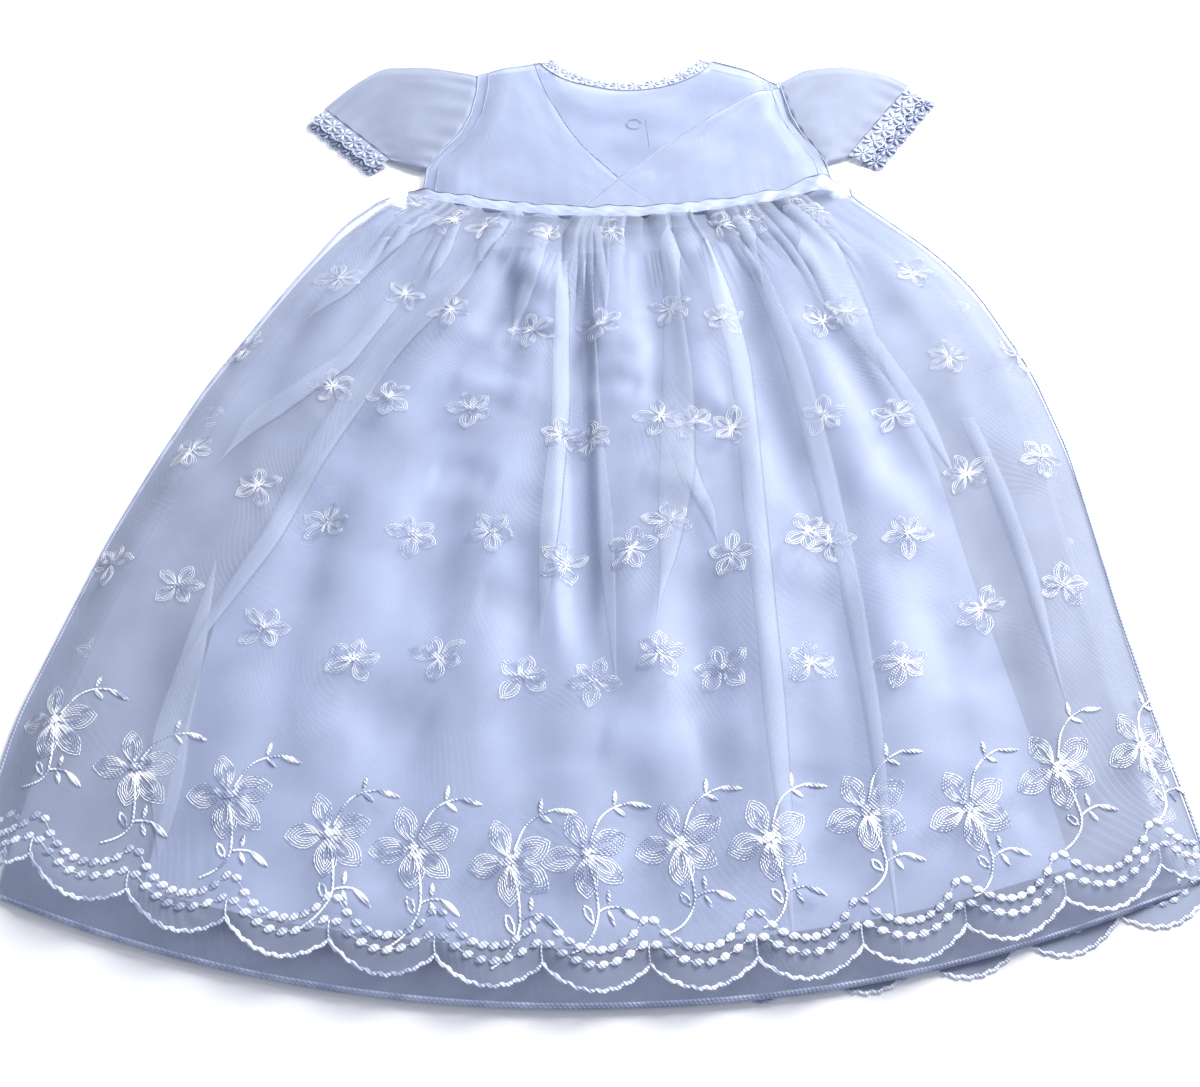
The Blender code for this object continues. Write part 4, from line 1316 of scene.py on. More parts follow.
@dataclass
class Scallops:
    """The corded scalloped edge with its two rows of satin dots."""

    stitching: Embroidery
    first: float
    shape: SkirtShape
    cord: float = 0.78

    # Of each row: dots in a scallop, height at its cusp, sag and roundness
    ROWS = ((8, 7.5, 9.0, 1.1), (10, 20.5, 16.5, 0.6))
    RIPPLES, RIPPLE, SWELL = 8, 0.8, 0.22
    STITCH, STITCH_RADIUS, LINK_RADIUS = 6.5, 0.34, 0.16
    PITCH = 40.0
    DOT_LENGTH, DOT_RADIUS = 2.05, 1.6

    def phase_to_across(self, phase: Numbers) -> Numbers:
        """Share across the panel of a place counted in scallops."""
        return (phase * SCALLOP_COLUMNS + self.first) / HEM_COLUMNS

    def make(self) -> None:
        """Adds the cord, the dots, their link threads and the stitch at each cusp."""
        needle = self.stitching.needle
        start, end = -self.first / SCALLOP_COLUMNS, (HEM_COLUMNS - self.first) / SCALLOP_COLUMNS
        phase = np.linspace(start, end, 900)
        depth = SCALLOP_DEPTH * np.abs(np.sin(np.pi * phase)) ** SCALLOP_POWER
        depth += self.RIPPLE * MM * np.abs(np.sin(np.pi * self.RIPPLES * phase))
        line = self.hem_points(self.phase_to_across(phase))
        line[:, 1] -= depth
        line[:, 2] += self.stitching.lift
        swell = 1 + self.SWELL * np.sin(2 * np.pi * phase * 2 * self.RIPPLES)
        needle.add(line, self.cord * MM * swell)
        for scallop in range(math.ceil(start) - 1, math.floor(end) + 1):
            for row in self.ROWS:
                self.dots(scallop, *row)
            cusp = self.phase_to_across(scallop)
            if 0.01 < cusp < 0.99:
                stitch = [self.above_hem(cusp - 0.0008 * math.sin(2.5 * k), self.STITCH * k)
                          for k in np.linspace(0, 1, 6)]
                needle.add(stitch, self.STITCH_RADIUS * MM)

    def dots(self, scallop: int, count: int, base: float, sag: float, power: float) -> None:
        """One row of dots in a scallop, with the thread that links them.

        Args:
            scallop: Number of the scallop.
            count: Dots in the row.
            base: Height of the row at the cusps, in millimetres.
            sag: How far it sinks in the middle.
            power: Roundness of its sag.
        """
        spots = []
        for k in range(count):
            share = (k + 0.5) / count
            place = self.phase_to_across(scallop + share)
            if 0.004 < place < 0.996:
                rise = base - sag * math.sin(math.pi * share) ** power
                spots.append((place, rise))
                self.dot(place, rise, -sag * math.cos(math.pi * share) * math.pi / self.PITCH)
        if len(spots) > 2:
            self.stitching.needle.add([self.above_hem(*spot) for spot in spots], self.LINK_RADIUS * MM)

    def hem_points(self, across: np.ndarray) -> np.ndarray:
        """Points of the line through the cusps.

        Args:
            across: Shares from the left edge to the right one.

        Returns:
            An array of points.
        """
        low = self.stitching.net.at(across, np.ones(np.shape(across)))
        x, y = self.shape.plan(across, 1.0)
        return np.stack([x, y, low[:, 2]], axis=-1)

    def above_hem(self, across: float, rise: float) -> np.ndarray:
        """Point of the cloth over the cusps' line.

        Args:
            across: Share from the left edge to the right one.
            rise: Millimetres towards the waist.

        Returns:
            The point.
        """
        net = self.stitching.net
        height = float(net.height(np.array([across]))[0])
        share = 1 - rise * MM / height
        x, y = self.shape.plan(across, share)
        column = net.points[:, int(across * net.size[1])]
        z = np.interp(-y, -column[:, 1], column[:, 2])
        return np.array((float(x), float(y), float(z) + self.stitching.lift))

    def dot(self, across: float, rise: float, slope: float) -> None:
        """One satin dot, slanted with its row.

        Args:
            across: Share from the left edge to the right one.
            rise: Millimetres towards the waist.
            slope: Slope of its row.
        """
        middle = self.above_hem(across, rise)
        share = np.linspace(-1, 1, 6)[:, None]
        ray = np.array([1.0, slope * 0.5 + 0.3, 0.0])
        ray /= np.linalg.norm(ray)
        line = middle + share * ray * self.DOT_LENGTH * MM
        radii = self.DOT_RADIUS * MM * np.sqrt(np.maximum(1 - share[:, 0] ** 2, 0.05))
        self.stitching.needle.add(line, radii)


# Middles of the flowers that the photo shows, in its pixels
FLOWERS = (
    (413, 207), (451, 222), (487, 227), (545, 235), (612, 232), (723, 226), (750, 218), (813, 212),
    (340, 279), (406, 295), (451, 310), (533, 331), (601, 325), (671, 310), (723, 319), (823, 322),
    (847, 312), (914, 273),
    (245, 348), (333, 387), (389, 398), (471, 410), (562, 436), (591, 440), (660, 417), (694, 423),
    (732, 429), (823, 417), (894, 416), (950, 358), (1018, 354),
    (191, 452), (259, 486), (327, 524), (413, 536), (491, 532), (565, 566), (631, 549), (670, 521),
    (731, 555), (807, 532), (830, 543), (907, 534), (966, 475), (1042, 457),
    (111, 563), (178, 586), (264, 628), (354, 660), (439, 658), (522, 677), (595, 681), (660, 653),
    (722, 670), (811, 664), (903, 662), (982, 609), (1062, 586),
)
BORDER = (
    (54, 720), (134, 768), (228, 795), (328, 834), (413, 847), (509, 861), (585, 853), (679, 842),
    (768, 838), (865, 811), (968, 808), (1056, 768), (1140, 746),
)


class Skirt:
    """The overskirt, the petticoat and the satin underskirt."""

    HEIGHTS = {
        "overskirt_front": (0.0138, 0.0014, 0.0096),
        "petticoat_front": (0.0108, 0.0038, 0.0064),
        "satin_front": (0.0080, 0.0050, 0.0068),
    }
    BACK_HEIGHTS = {"overskirt_back": 0.0006, "petticoat_back": 0.0017, "satin_back": 0.0028}
    OVERSKIRT_CUT, PETTICOAT_CUT, SATIN_CUT = (0.62, 0.455), (0.56, 0.465), (0.40, 0.400)
    TUCK_ROWS, TUCK_COLUMNS = 40, 8
    TUCK_TAPER, TUCK_HEAD, TUCK_FOOT, TUCK_LIFT = 0.35, 0.2, 0.3, 0.0002
    ROLLED_RADIUS = 0.0007
    FLOWER_LIFT, EDGE_LIFT, EDGE_BODY = 0.0008, 0.0004, 0.22
    BACK_FLOWER_ROWS, BACK_BORDER_DOWN, BACK_BORDER_COUNT = (0.05, 0.21, 0.40, 0.59, 0.76), 0.905, 12

    def make(self) -> None:
        """Builds all six plies and their sewing."""
        relief = Relief(CREASES)
        over = SkirtPly(FRONT_SHAPE, *self.HEIGHTS["overskirt_front"], relief,
                        Gathers(25, 0.0040, 0.0034, 0.26), crumple=0.0006).net(FRONT_CUSP)
        self.painted_light_patches("overskirt_front", over, ORGANZA, self.OVERSKIRT_CUT, "gathered", self.tucks(over))
        self.rolled("overskirt_side_seams", over.points[::2, 0], over.points[::2, -1])
        self.embroider_front(over)
        petticoat = SkirtPly(PETTICOAT_SHAPE, *self.HEIGHTS["petticoat_front"], relief,
                             Gathers(30, 0.0012, 0.0008, 0.22), crumple=0.0002,
                             rows=90, columns=220).net()
        self.painted_light_patches("petticoat_front", petticoat, PETTICOAT_ORGANZA, self.PETTICOAT_CUT, "gathered")
        self.rolled("petticoat_front_hem", petticoat.points[-1, ::2])
        satin = SkirtPly(SATIN_SHAPE, *self.HEIGHTS["satin_front"], relief,
                         Gathers(24, 0.0016, 0.0010, 0.13), crumple=0.0013,
                         rows=170, columns=240, swirl=1.3).net(seed=SEED + 5)
        self.painted_light_patches("satin_front", satin, SATIN, self.SATIN_CUT, "gathered")
        self.backs()

    def painted_light_patches(self, node: str, net: Net, finish: Cloth, cut: tuple[float, float], held: str,
            extra: Sequence[bpy.types.Object] = (), facing: Facing = Facing.UP) -> None:
        """Makes a ply's piece, with its tucks joined in, and gives it its cloth.

        Args:
            node: The CAD node that it stands for.
            net: The cloth's points.
            finish: Its cloth.
            cut: Width and length of its flat cloth.
            held: Not used.
            extra: Tucks that are part of the same cloth.
            facing: The side that is the cloth's outside.
        """
        piece = spread(node + "_cloth", net, cut, facing)
        if extra:
            deselect()
            for tuck in extra:
                tuck.select_set(True)
            piece.select_set(True)
            bpy.context.view_layer.objects.active = piece
            bpy.ops.object.join()
        dressed(piece, finish, [node])
        net.flat_area(cut)

    def tucks(self, net: Net) -> list[bpy.types.Object]:
        """The places where the overskirt lies over itself, as flat tubes of the same cloth.

        Args:
            net: The overskirt's points.

        Returns:
            The tubes.
        """
        over = np.linspace(0.0, 1.0, self.TUCK_COLUMNS + 1)
        round_it = np.concatenate([over, over[-2::-1]])
        upper = np.concatenate([np.ones(len(over)), np.zeros(len(over) - 1)])
        crown = upper * np.sin(np.pi * np.clip(round_it, 0, 1)) ** 0.5
        made = []
        for number, tuck in enumerate(TUCKS):
            left, right = (np.array([on_cloth(net, FRONT_SHAPE, px, py)
                                     for px, py in smooth_line(np.array(path, float), self.TUCK_ROWS)])
                           for path in (tuck.left, tuck.right))
            rows = []
            for i, share in enumerate(np.linspace(0.0, 1.0, self.TUCK_ROWS + 1)):
                full = max(float(ease((1 - share) / self.TUCK_TAPER)) ** 0.5, 0.02)
                spots = blend(left[i], right[i], (0.5 + (round_it - 0.5) * full)[:, None])
                points = net.at(spots[:, 0], spots[:, 1])
                ends = float(ease(share / self.TUCK_HEAD) * ease((1 - share) / self.TUCK_FOOT))
                points[:, 2] += self.TUCK_LIFT + crown * tuck.proud * (0.1 + 0.9 * ends)
                rows.append(points)
            made.append(spread(f"tuck_{number}", Net(np.array(rows)), (0.05, 0.2)))
        return made

    def embroider_front(self, net: Net) -> None:
        """The scattered flowers, the border and the scalloped edge of the front.

        Args:
            net: The overskirt's points.
        """
        small = Embroidery(net, self.FLOWER_LIFT)
        motif = Motif(SEED)
        for px, py in FLOWERS:
            small.sew(on_cloth(net, FRONT_SHAPE, px, py), motif.small())
        dressed(small.needle.make("overskirt_front_flowers"), RAYON)
        border = Embroidery(net, self.EDGE_LIFT)
        for px, py in BORDER:
            border.sew(on_cloth(net, FRONT_SHAPE, px, py), motif.border())
        dressed(border.needle.make("overskirt_front_border"), RAYON)
        edge = Embroidery(net, self.EDGE_LIFT)
        edge.needle.body = self.EDGE_BODY
        Scallops(edge, FRONT_CUSP, FRONT_SHAPE).make()
        dressed(edge.needle.make("overskirt_front_edge"), CORD)

    def rolled(self, name: str, *lines: np.ndarray) -> None:
        """Narrow rolled edges of a ply.

        Args:
            name: The piece's name.
            *lines: The edges' points.
        """
        needle = Needle()
        for line in lines:
            needle.add(line, self.ROLLED_RADIUS)
        dressed(needle.make(name), EDGE)

    def backs(self) -> None:
        """The three back plies, flat on the surface."""
        plies = (
            ("overskirt_back", BACK_SHAPE, BACK_ORGANZA, self.OVERSKIRT_CUT, BACK_CUSP, 344, 60),
            ("petticoat_back", PETTICOAT_BACK_SHAPE, BACK_ORGANZA, self.PETTICOAT_CUT, 0, 120, 50),
            ("satin_back", SATIN_BACK_SHAPE, SATIN, self.SATIN_CUT, 0, 90, 50),
        )
        for node, shape, finish, cut, cusp, columns, rows in plies:
            level = self.BACK_HEIGHTS[node]
            net = SkirtPly(shape, level, level, level, rows=rows, columns=columns, settle=0.0).net(cusp)
            self.painted_light_patches(node, net, finish, cut, "laid", facing=Facing.DOWN)
            if node == "overskirt_back":
                self.embroider_back(net)
            elif node == "petticoat_back":
                self.rolled("petticoat_back_hem", net.points[-1, ::2])

    def embroider_back(self, net: Net) -> None:
        """The same pattern on the back, in its even repeat.

        Args:
            net: The back's points.
        """
        motif = Motif(SEED + 3)
        small = Embroidery(net, 0.0)
        for k, down in enumerate(self.BACK_FLOWER_ROWS):
            count = 11 if k % 2 else 12
            for j in range(count):
                across = (j + 0.5 + 0.25 * (k % 2)) / (count + 0.3)
                small.sew((across, down), motif.small(10, 2))
        dressed(small.needle.make("overskirt_back_flowers"), RAYON)
        border = Embroidery(net, 0.0)
        for j in range(self.BACK_BORDER_COUNT):
            middle = ((j + 0.5) * SCALLOP_COLUMNS + BACK_CUSP) / HEM_COLUMNS
            border.sew((middle, self.BACK_BORDER_DOWN), motif.border(14))
        dressed(border.needle.make("overskirt_back_border"), RAYON)
        edge = Embroidery(net, 0.0)
        Scallops(edge, BACK_CUSP, BACK_SHAPE).make()
        dressed(edge.needle.make("overskirt_back_edge"), CORD)


def on_cloth(net: Net, shape: SkirtShape, px: float, py: float) -> tuple[float, float]:
    """Shares across and down of the cloth that a pixel of the photograph shows.

    Args:
        net: The cloth's points.
        shape: The cloth's plan.
        px: Pixel column.
        py: Pixel row.

    Returns:
        The two shares.
    """
    level, spot = 0.012, (0.5, 0.5)
    for _ in range(3):
        spot = shape.locate(*PHOTO.on_level(px, py, level))
        level = float(net.at(np.array([spot[0]]), np.array([spot[1]]))[0, 2])
    return spot


def net_of(place: Surface, columns: int, rows: int) -> Net:
    """Net of a piece given by a function of the shares across and down it.

    Args:
        place: Gives a point for a share across and a share down.
        columns: Stretches across.
        rows: Stretches down.

    Returns:
        The net.
    """
    return Net(np.array([[place(j / columns, i / rows) for j in range(columns + 1)]
                         for i in range(rows + 1)], float))


def top_path(share: float, depth: float, power: float) -> tuple[float, float]:
    """Top edge of the bodice: left shoulder, round neck and right shoulder.

    Args:
        share: Share along the edge.
        depth: Depth of the neckline.
        power: Roundness of the neckline.

    Returns:
        X and Y.
    """
    neck_left, neck_right = np.array((NECK_X - NECK_HALF, NECK_Y)), np.array((NECK_X + NECK_HALF, NECK_Y))
    if share < SHOULDER_SHARE:
        return tuple(blend(np.array(SHOULDER_LEFT), neck_left, share / SHOULDER_SHARE))
    if share > 1 - SHOULDER_SHARE:
        return tuple(blend(np.array(SHOULDER_RIGHT), neck_right, (1 - share) / SHOULDER_SHARE))
    angle = math.pi * (share - SHOULDER_SHARE) / (1 - 2 * SHOULDER_SHARE)
    drop = depth * max(math.sin(angle), 0.0) ** power
    return NECK_X - NECK_HALF * math.cos(angle), NECK_Y - drop


def neck_share(x: float) -> float:
    """Share of the top edge at which the neckline passes x."""
    return SHOULDER_SHARE + (1 - 2 * SHOULDER_SHARE) * math.acos((NECK_X - x) / NECK_HALF) / math.pi


def bodice_side(side: str, share: float) -> tuple[float, float]:
    """Side seam and armhole of the bodice.

    Args:
        side: Left or right.
        share: 0 at the waist and 1 at the shoulder.

    Returns:
        X and Y.
    """
    corner = WAIST_LEFT if side == "left" else WAIST_RIGHT
    shoulder = SHOULDER_LEFT if side == "left" else SHOULDER_RIGHT
    levels = [row.level for row in BODICE_SIDES]
    x = float(np.interp(share, levels, [getattr(row, side) for row in BODICE_SIDES]))
    return x, blend(waist(corner), shoulder[1], share)


class Bodice:
    """The bodice's front, crossed panels and backs, with its buttons and seams."""

    FRONT_Z = (0.0056, 0.0020)
    CROSS_LEFT_Z = (0.0075, 0.0039)
    CROSS_RIGHT_Z = (0.0091, 0.0042)
    BACK_Z = 0.0012
    SIDE_ROLL = 0.020
    LAP_Z = 0.0019
    BUMP = 0.0019
    BUMP_REACH, BUMP_FLAT = 0.024, 0.011
    COLUMNS, ROWS = 70, 46
    FINE_PUCKER, BROAD_PUCKER = 0.0003, 0.0005
    RINGS, RING_POINTS, RING_RADIUS = (0.0050, 0.0040), 28, 0.00014
    SEAM_INSET, SEAM_POINTS = 0.007, 40

    def rise(self, x: float, share: float, plies: tuple[float, float]) -> float:
        """Height of a ply: low at the side seams and full inside.

        Args:
            x: Place across.
            share: Share from waist to shoulder.
            plies: Heights inside and at the side seams.

        Returns:
            The height.
        """
        inside, at_side = plies
        gap = min(x - bodice_side("left", share)[0], bodice_side("right", share)[0] - x)
        return blend(at_side, inside, float(ease(gap / self.SIDE_ROLL)))

    def wrinkle(self, x: float, y: float, seed: float) -> float:
        """Soft puckers, finest near the waist seam.

        Args:
            x: Place across.
            y: Place towards the neck.
            seed: What sets one panel's puckers apart from another's.

        Returns:
            Their height.
        """
        near_waist = math.exp(-max(y - waist(x), 0.0) / 0.03)
        fine = math.sin(x * 430 + 3 * math.sin(x * 61) + seed) * math.sin(x * 190 + seed * 2 + y * 30)
        broad = math.sin(x * 70 + y * 55 + seed) + math.sin(y * 90 - x * 35 + 2 * seed)
        broad += 0.6 * math.sin(y * 165 + x * 48 + 3 * seed) + 0.4 * math.sin(x * 150 - y * 120 + seed)
        return self.FINE_PUCKER * near_waist * fine + self.BROAD_PUCKER * broad

    def panel_point(self, across: float, up: float, span: tuple[float, float],
                    bottom: tuple[float, float], depth: float, power: float) -> tuple[float, float]:
        """Place of a point of a panel between a stretch of the waist and one of the top edge.

        Args:
            across: Share from its left edge to its right one.
            up: Share from the waist to the top edge.
            span: Shares of the top edge where the panel starts and ends.
            bottom: X of its ends at the waist.
            depth: Depth of the neckline.
            power: Roundness of the neckline.

        Returns:
            X and Y.
        """
        top_x, top_y = top_path(blend(span[0], span[1], across), depth, power)
        bottom_x = blend(bottom[0], bottom[1], across)
        x = blend(bottom_x, top_x, up)
        if bottom[0] == WAIST_LEFT:
            x += self.pull("left", up) * (1 - across) ** 2
        if bottom[1] == WAIST_RIGHT:
            x += self.pull("right", up) * across ** 2
        return x, blend(waist(bottom_x), top_y, up)

    def pull(self, side: str, share: float) -> float:
        """How far the side edge lies from the straight line between its two ends."""
        straight = blend(bodice_side(side, 0.0)[0], bodice_side(side, 1.0)[0], share)
        return bodice_side(side, share)[0] - straight

    def front(self, across: float, down: float) -> tuple[float, float, float]:
        """Point of the front panel.

        Args:
            across: Share from its left edge to its right one.
            down: Share from the neck to the waist.

        Returns:
            The point.
        """
        x, y = self.panel_point(across, 1 - down, (0, 1), (WAIST_LEFT, WAIST_RIGHT),
                                FRONT_NECK_DEPTH, FRONT_NECK_POWER)
        return x, y, self.rise(x, 1 - down, self.FRONT_Z) + self.wrinkle(x, y, 1.0)

    def cross(self, side: str, edge: Sequence[tuple[float, float]], top: float,
              plies: tuple[float, float], seed: float) -> Surface:
        """Surface of a crossed panel.

        Args:
            side: The side seam that it hangs from.
            edge: Start, pull and end of its curved front edge.
            top: Share of the armhole that it reaches to.
            plies: Heights inside and at the side seam.
            seed: What sets its puckers apart.

        Returns:
            The function that gives its points.
        """
        def place(across: float, down: float) -> tuple[float, float, float]:
            """Point of the panel.

            Args:
                across: Share from its left edge to its right one.
                down: Share from its top to the waist.

            Returns:
                The point.
            """
            up = 1 - down
            seam = np.array(bodice_side(side, up * top))
            start, pull, end = (np.array(point) for point in edge)
            inner = blend(blend(start, pull, up), blend(pull, end, up), up)
            share = across if side == "left" else 1 - across
            x, y = blend(seam, inner, share)
            sag = waist(x) - blend(waist(seam[0]), waist(edge[0][0]), share)
            y += max(sag, -y) * (1 - up) ** 3
            return x, y, self.rise(x, up * top, plies) + self.wrinkle(x, y, seed)
        return place

    def bump(self, x: float, y: float) -> float:
        """Rise of the back plies over the buttons."""
        near = min(math.hypot(x - BUTTON_X, y - row) for row in BUTTON_YS)
        return self.BUMP * float(ease((self.BUMP_REACH - near) / (self.BUMP_REACH - self.BUMP_FLAT)))

    def lap(self, x: float) -> float:
        """Height of the right back where it laps the left one."""
        return self.LAP_Z * (1 - float(ease((x - PLACKET_RIGHT - LAP_CLEAR) / PLACKET_STEP)))

    def above_ribbon(self, down: float) -> float:
        """Lift of the backs' lower rows over the back ribbon."""
        return (RIBBON_WIDTH / 2 + 0.0004) * float(ease((down - 1 + UNDERARM) / UNDERARM))

    def back(self, left: bool) -> Surface:
        """Surface of a back panel.

        Args:
            left: Whether it is the left one, which lies under the right one.

        Returns:
            The function that gives its points.
        """
        span = (0, neck_share(PLACKET_RIGHT)) if left else (neck_share(PLACKET_LEFT), 1)
        bottom = (WAIST_LEFT, PLACKET_RIGHT) if left else (PLACKET_LEFT, WAIST_RIGHT)

        def place(across: float, down: float) -> tuple[float, float, float]:
            """Point of the panel.

            Args:
                across: Share from its left edge to its right one.
                down: Share from its top to the waist.

            Returns:
                The point.
            """
            x, y = self.panel_point(across, 1 - down, span, bottom, BACK_NECK_DEPTH, BACK_NECK_POWER)
            y += self.above_ribbon(down)
            return x, y, self.BACK_Z / 2 + self.bump(x, y) + (0.0 if left else self.lap(x))
        return place

    def make(self) -> None:
        """Builds the bodice."""
        left = self.cross("left", CROSS_LEFT_EDGE, 1.0, self.CROSS_LEFT_Z, 2.0)
        right = self.cross("right", CROSS_RIGHT_EDGE, CROSS_RIGHT_TOP, self.CROSS_RIGHT_Z, 3.0)
        panels = (
            ("bodice_front", self.front, BODICE_FRONT, Facing.UP, (0.25, 0.155)),
            ("bodice_cross_left", left, BODICE_ORGANZA, Facing.UP, (0.155, 0.155)),
            ("bodice_cross_right", right, BODICE_ORGANZA, Facing.UP, (0.16, 0.15)),
            ("bodice_back_left", self.back(True), BODICE_BACK, Facing.DOWN, (0.145, 0.155)),
            ("bodice_back_right", self.back(False), BODICE_BACK, Facing.DOWN, (0.135, 0.155)),
        )
        nets = {}
        for node, place, finish, facing, cut in panels:
            net = nets[node] = net_of(place, self.COLUMNS, self.ROWS)
            piece = dressed(spread(node + "_cloth", net, cut, facing), finish, [node])
            net.flat_area(cut)
        self.edges(nets)
        for node in ("button_upper", "button_lower"):
            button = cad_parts[node]
            button.data.materials.clear()
            button.data.materials.append(NYLON.material())

    def shown(self, x: float, y: float) -> tuple[float, float, float]:
        """Place on the front panel where what lies behind it shows through."""
        return x, y, self.rise(x, 0.6, self.FRONT_Z) + self.wrinkle(x, y, 1.0) + 0.0002

    def edges(self, nets: dict[str, Net]) -> None:
        """Rolled edges of the neck, the crossing and the placket, the seams, and what shows through.

        Args:
            nets: The panels' points by node.
        """
        needle = Needle()
        every = slice(None)
        for node, line, lift, radius in (
                ("bodice_cross_left", (every, -1), 0.0002, 0.0003),
                ("bodice_cross_right", (every, 0), 0.0003, 0.0005),
                ("bodice_front", 0, 0.0003, 0.0005),
                ("bodice_back_left", 0, 0.0002, 0.0005),
                ("bodice_back_right", 0, 0.0002, 0.0005),
                ("bodice_back_left", (every, -1), 0.0002, 0.0004),
                ("bodice_back_right", (every, 0), 0.0002, 0.0004)):
            needle.add(nets[node].points[line] + (0, 0, lift), radius)
        for side, plies, inset in (("left", self.CROSS_LEFT_Z, self.SEAM_INSET),
                                   ("right", self.CROSS_RIGHT_Z, -self.SEAM_INSET)):
            armhole, seam = [], []
            for share in np.linspace(0.0, 0.98, self.SEAM_POINTS):
                x, y = bodice_side(side, share)
                armhole.append((x, y, plies[1] + 0.0006))
                seam.append((x + inset, y, self.rise(x + inset, share, plies) + 0.0006))
            needle.add(armhole, 0.0006)
            needle.add(seam, 0.0003)
        for radius in self.RINGS:
            ring = [self.shown(BUTTON_X + radius * math.cos(t), BUTTON_YS[0] + radius * math.sin(t))
                    for t in np.linspace(0, 2 * math.pi, self.RING_POINTS, endpoint=False)]
            needle.add(ring, self.RING_RADIUS, True)
        placket = [self.shown(0.0145 + 0.0015 * share, 0.094 - 0.028 * share)
                   for share in np.linspace(0, 1, 9)]
        needle.add(placket, 0.00012)
        dressed(needle.make("bodice_edges"), EDGE)


class Sleeves:
    """The two puff sleeves with their corded lace."""

    HEIGHT, CUFF_HEIGHT = 0.0046, 0.0036
    PUFF = 0.0018
    FLATNESS, SPREAD = 0.4, 1.15
    AROUND, ALONG = 96, 44
    GATHERS, GATHER_HEIGHT = 8, 0.0013
    CUFF_WAVE = 0.0005
    BACK_SLIP, LACE_BACK_SLIP = 0.8, 0.85
    LACE_WIDTH, LACE_DAISIES, LACE_DROP = 0.0135, 6, 0.0125
    CUT = (0.24, 0.09)

    def ring(self, arm: Arm, along: float, end: str) -> np.ndarray:
        """Place of the sleeve's top fold or underarm seam.

        Args:
            arm: The sleeve.
            along: Share of its length.
            end: Top or under.

        Returns:
            X and Y.
        """
        rows = SLEEVES[arm]
        levels = [row.along for row in rows]
        taps = [[np.interp(along + k, levels, [getattr(row, end)[axis] for row in rows])
                 for axis in (0, 1)] for k in (-0.05, 0.0, 0.05)]
        return np.mean(taps, axis=0)

    def line(self, arm: Arm, along: float, down_arm: float) -> tuple[float, float]:
        """Place on the surface between the top fold and the underarm seam.

        Args:
            arm: The sleeve.
            along: Share of its length.
            down_arm: Share from the top fold to the underarm seam.

        Returns:
            X and Y.
        """
        x, y = blend(self.ring(arm, along, "top"), self.ring(arm, along, "under"), down_arm)
        start = blend(self.ring(arm, 0.0, "top"), self.ring(arm, 0.0, "under"), down_arm)
        seam = bodice_side(arm.value, blend(SLEEVE_HEAD, SLEEVE_FOOT, down_arm))
        fade = (1 - along) ** 2
        return (x + (seam[0] + arm.outward * ARMHOLE_SEAM - start[0]) * fade,
                y + (seam[1] - start[1]) * fade)

    def point(self, arm: Arm, along: float, angle: float) -> tuple[float, float, float]:
        """Place on the surface of a sleeve point.

        Args:
            arm: The sleeve.
            along: Share of its length.
            angle: Angle round it, from its top fold over its front.

        Returns:
            X, Y and how far from the two folds it is.
        """
        x, y = self.line(arm, along, 0.5 - 0.5 * math.cos(angle))
        bow = abs(math.sin(angle)) ** self.FLATNESS
        slip = (0.0 if math.sin(angle) > 0 else self.BACK_SLIP) * math.sin(angle) ** 2 * float(ease(along))
        return x + CUFF_SLIP[arm][0] * slip, y + CUFF_SLIP[arm][1] * slip, bow

    def surface(self, arm: Arm) -> Surface:
        """Surface of a sleeve.

        Args:
            arm: The sleeve.

        Returns:
            The function that gives its points.
        """
        def place(turn: float, along: float) -> tuple[float, float, float]:
            """Point of the sleeve.

            Args:
                turn: Share round it, over its front first.
                along: Share from the armhole to the cuff.

            Returns:
                The point.
            """
            angle = 2 * math.pi * (turn % 1.0)
            x, y, bow = self.point(arm, along, angle)
            half = blend(self.HEIGHT, self.CUFF_HEIGHT, along) / 2
            if math.sin(angle) > 0:
                phase = 2 * math.pi * self.GATHERS * angle / math.pi
                gather = 0.5 - 0.5 * math.cos(phase + 0.8 * math.sin(3 * angle))
                length = 0.35 + 0.35 * math.sin(5.3 * angle) ** 2
                fade = (1 - float(ease((along - 0.02) / length))) * bow * float(ease(along / 0.03 + 0.3))
                puff = self.PUFF * math.sin(math.pi * min(along * 1.1, 1.0)) * bow
                cuff = self.CUFF_WAVE * math.sin(angle * 16) * float(ease((along - 0.7) / 0.3)) * bow
                z = half * (1 + bow) + self.GATHER_HEIGHT * gather * fade + puff + cuff
            else:
                z = max(half * (1 - self.SPREAD * bow), 0.0) + 0.0004
            return x, y, z
        return place

    def make(self) -> None:
        """Builds both sleeves with their lace."""
        for arm in Arm:
            net = net_of(self.surface(arm), self.AROUND, self.ALONG)
            node = f"sleeve_{arm.value}"
            piece = spread(node + "_cloth", net, self.CUT)
            bpy.ops.object.mode_set(mode="EDIT")
            bpy.ops.mesh.select_all(action="SELECT")
            bpy.ops.mesh.remove_doubles(threshold=0.00002)
            bpy.ops.mesh.normals_make_consistent(inside=False)
            bpy.ops.object.mode_set(mode="OBJECT")
            dressed(piece, SLEEVE_ORGANZA, [node])
            net.flat_area(self.CUT)
            for facing in Facing:
                self.lace(arm, facing)

    def cuff(self, arm: Arm, share: float) -> tuple[np.ndarray, np.ndarray]:
        """A place on the cuff's edge.

        Args:
            arm: The sleeve.
            share: Share along the edge.

        Returns:
            The place and the direction out of the sleeve.
        """
        share = share if arm is Arm.RIGHT else 1 - share
        angle = math.acos(1 - 2 * blend(0.96, 0.04, share))
        x, y = self.line(arm, 1.0, 0.5 - 0.5 * math.cos(angle))
        run = self.ring(arm, 1.0, "under") - self.ring(arm, 1.0, "top")
        run /= np.linalg.norm(run)
        return np.array((x, y)), np.array((-run[1], run[0])) * arm.outward

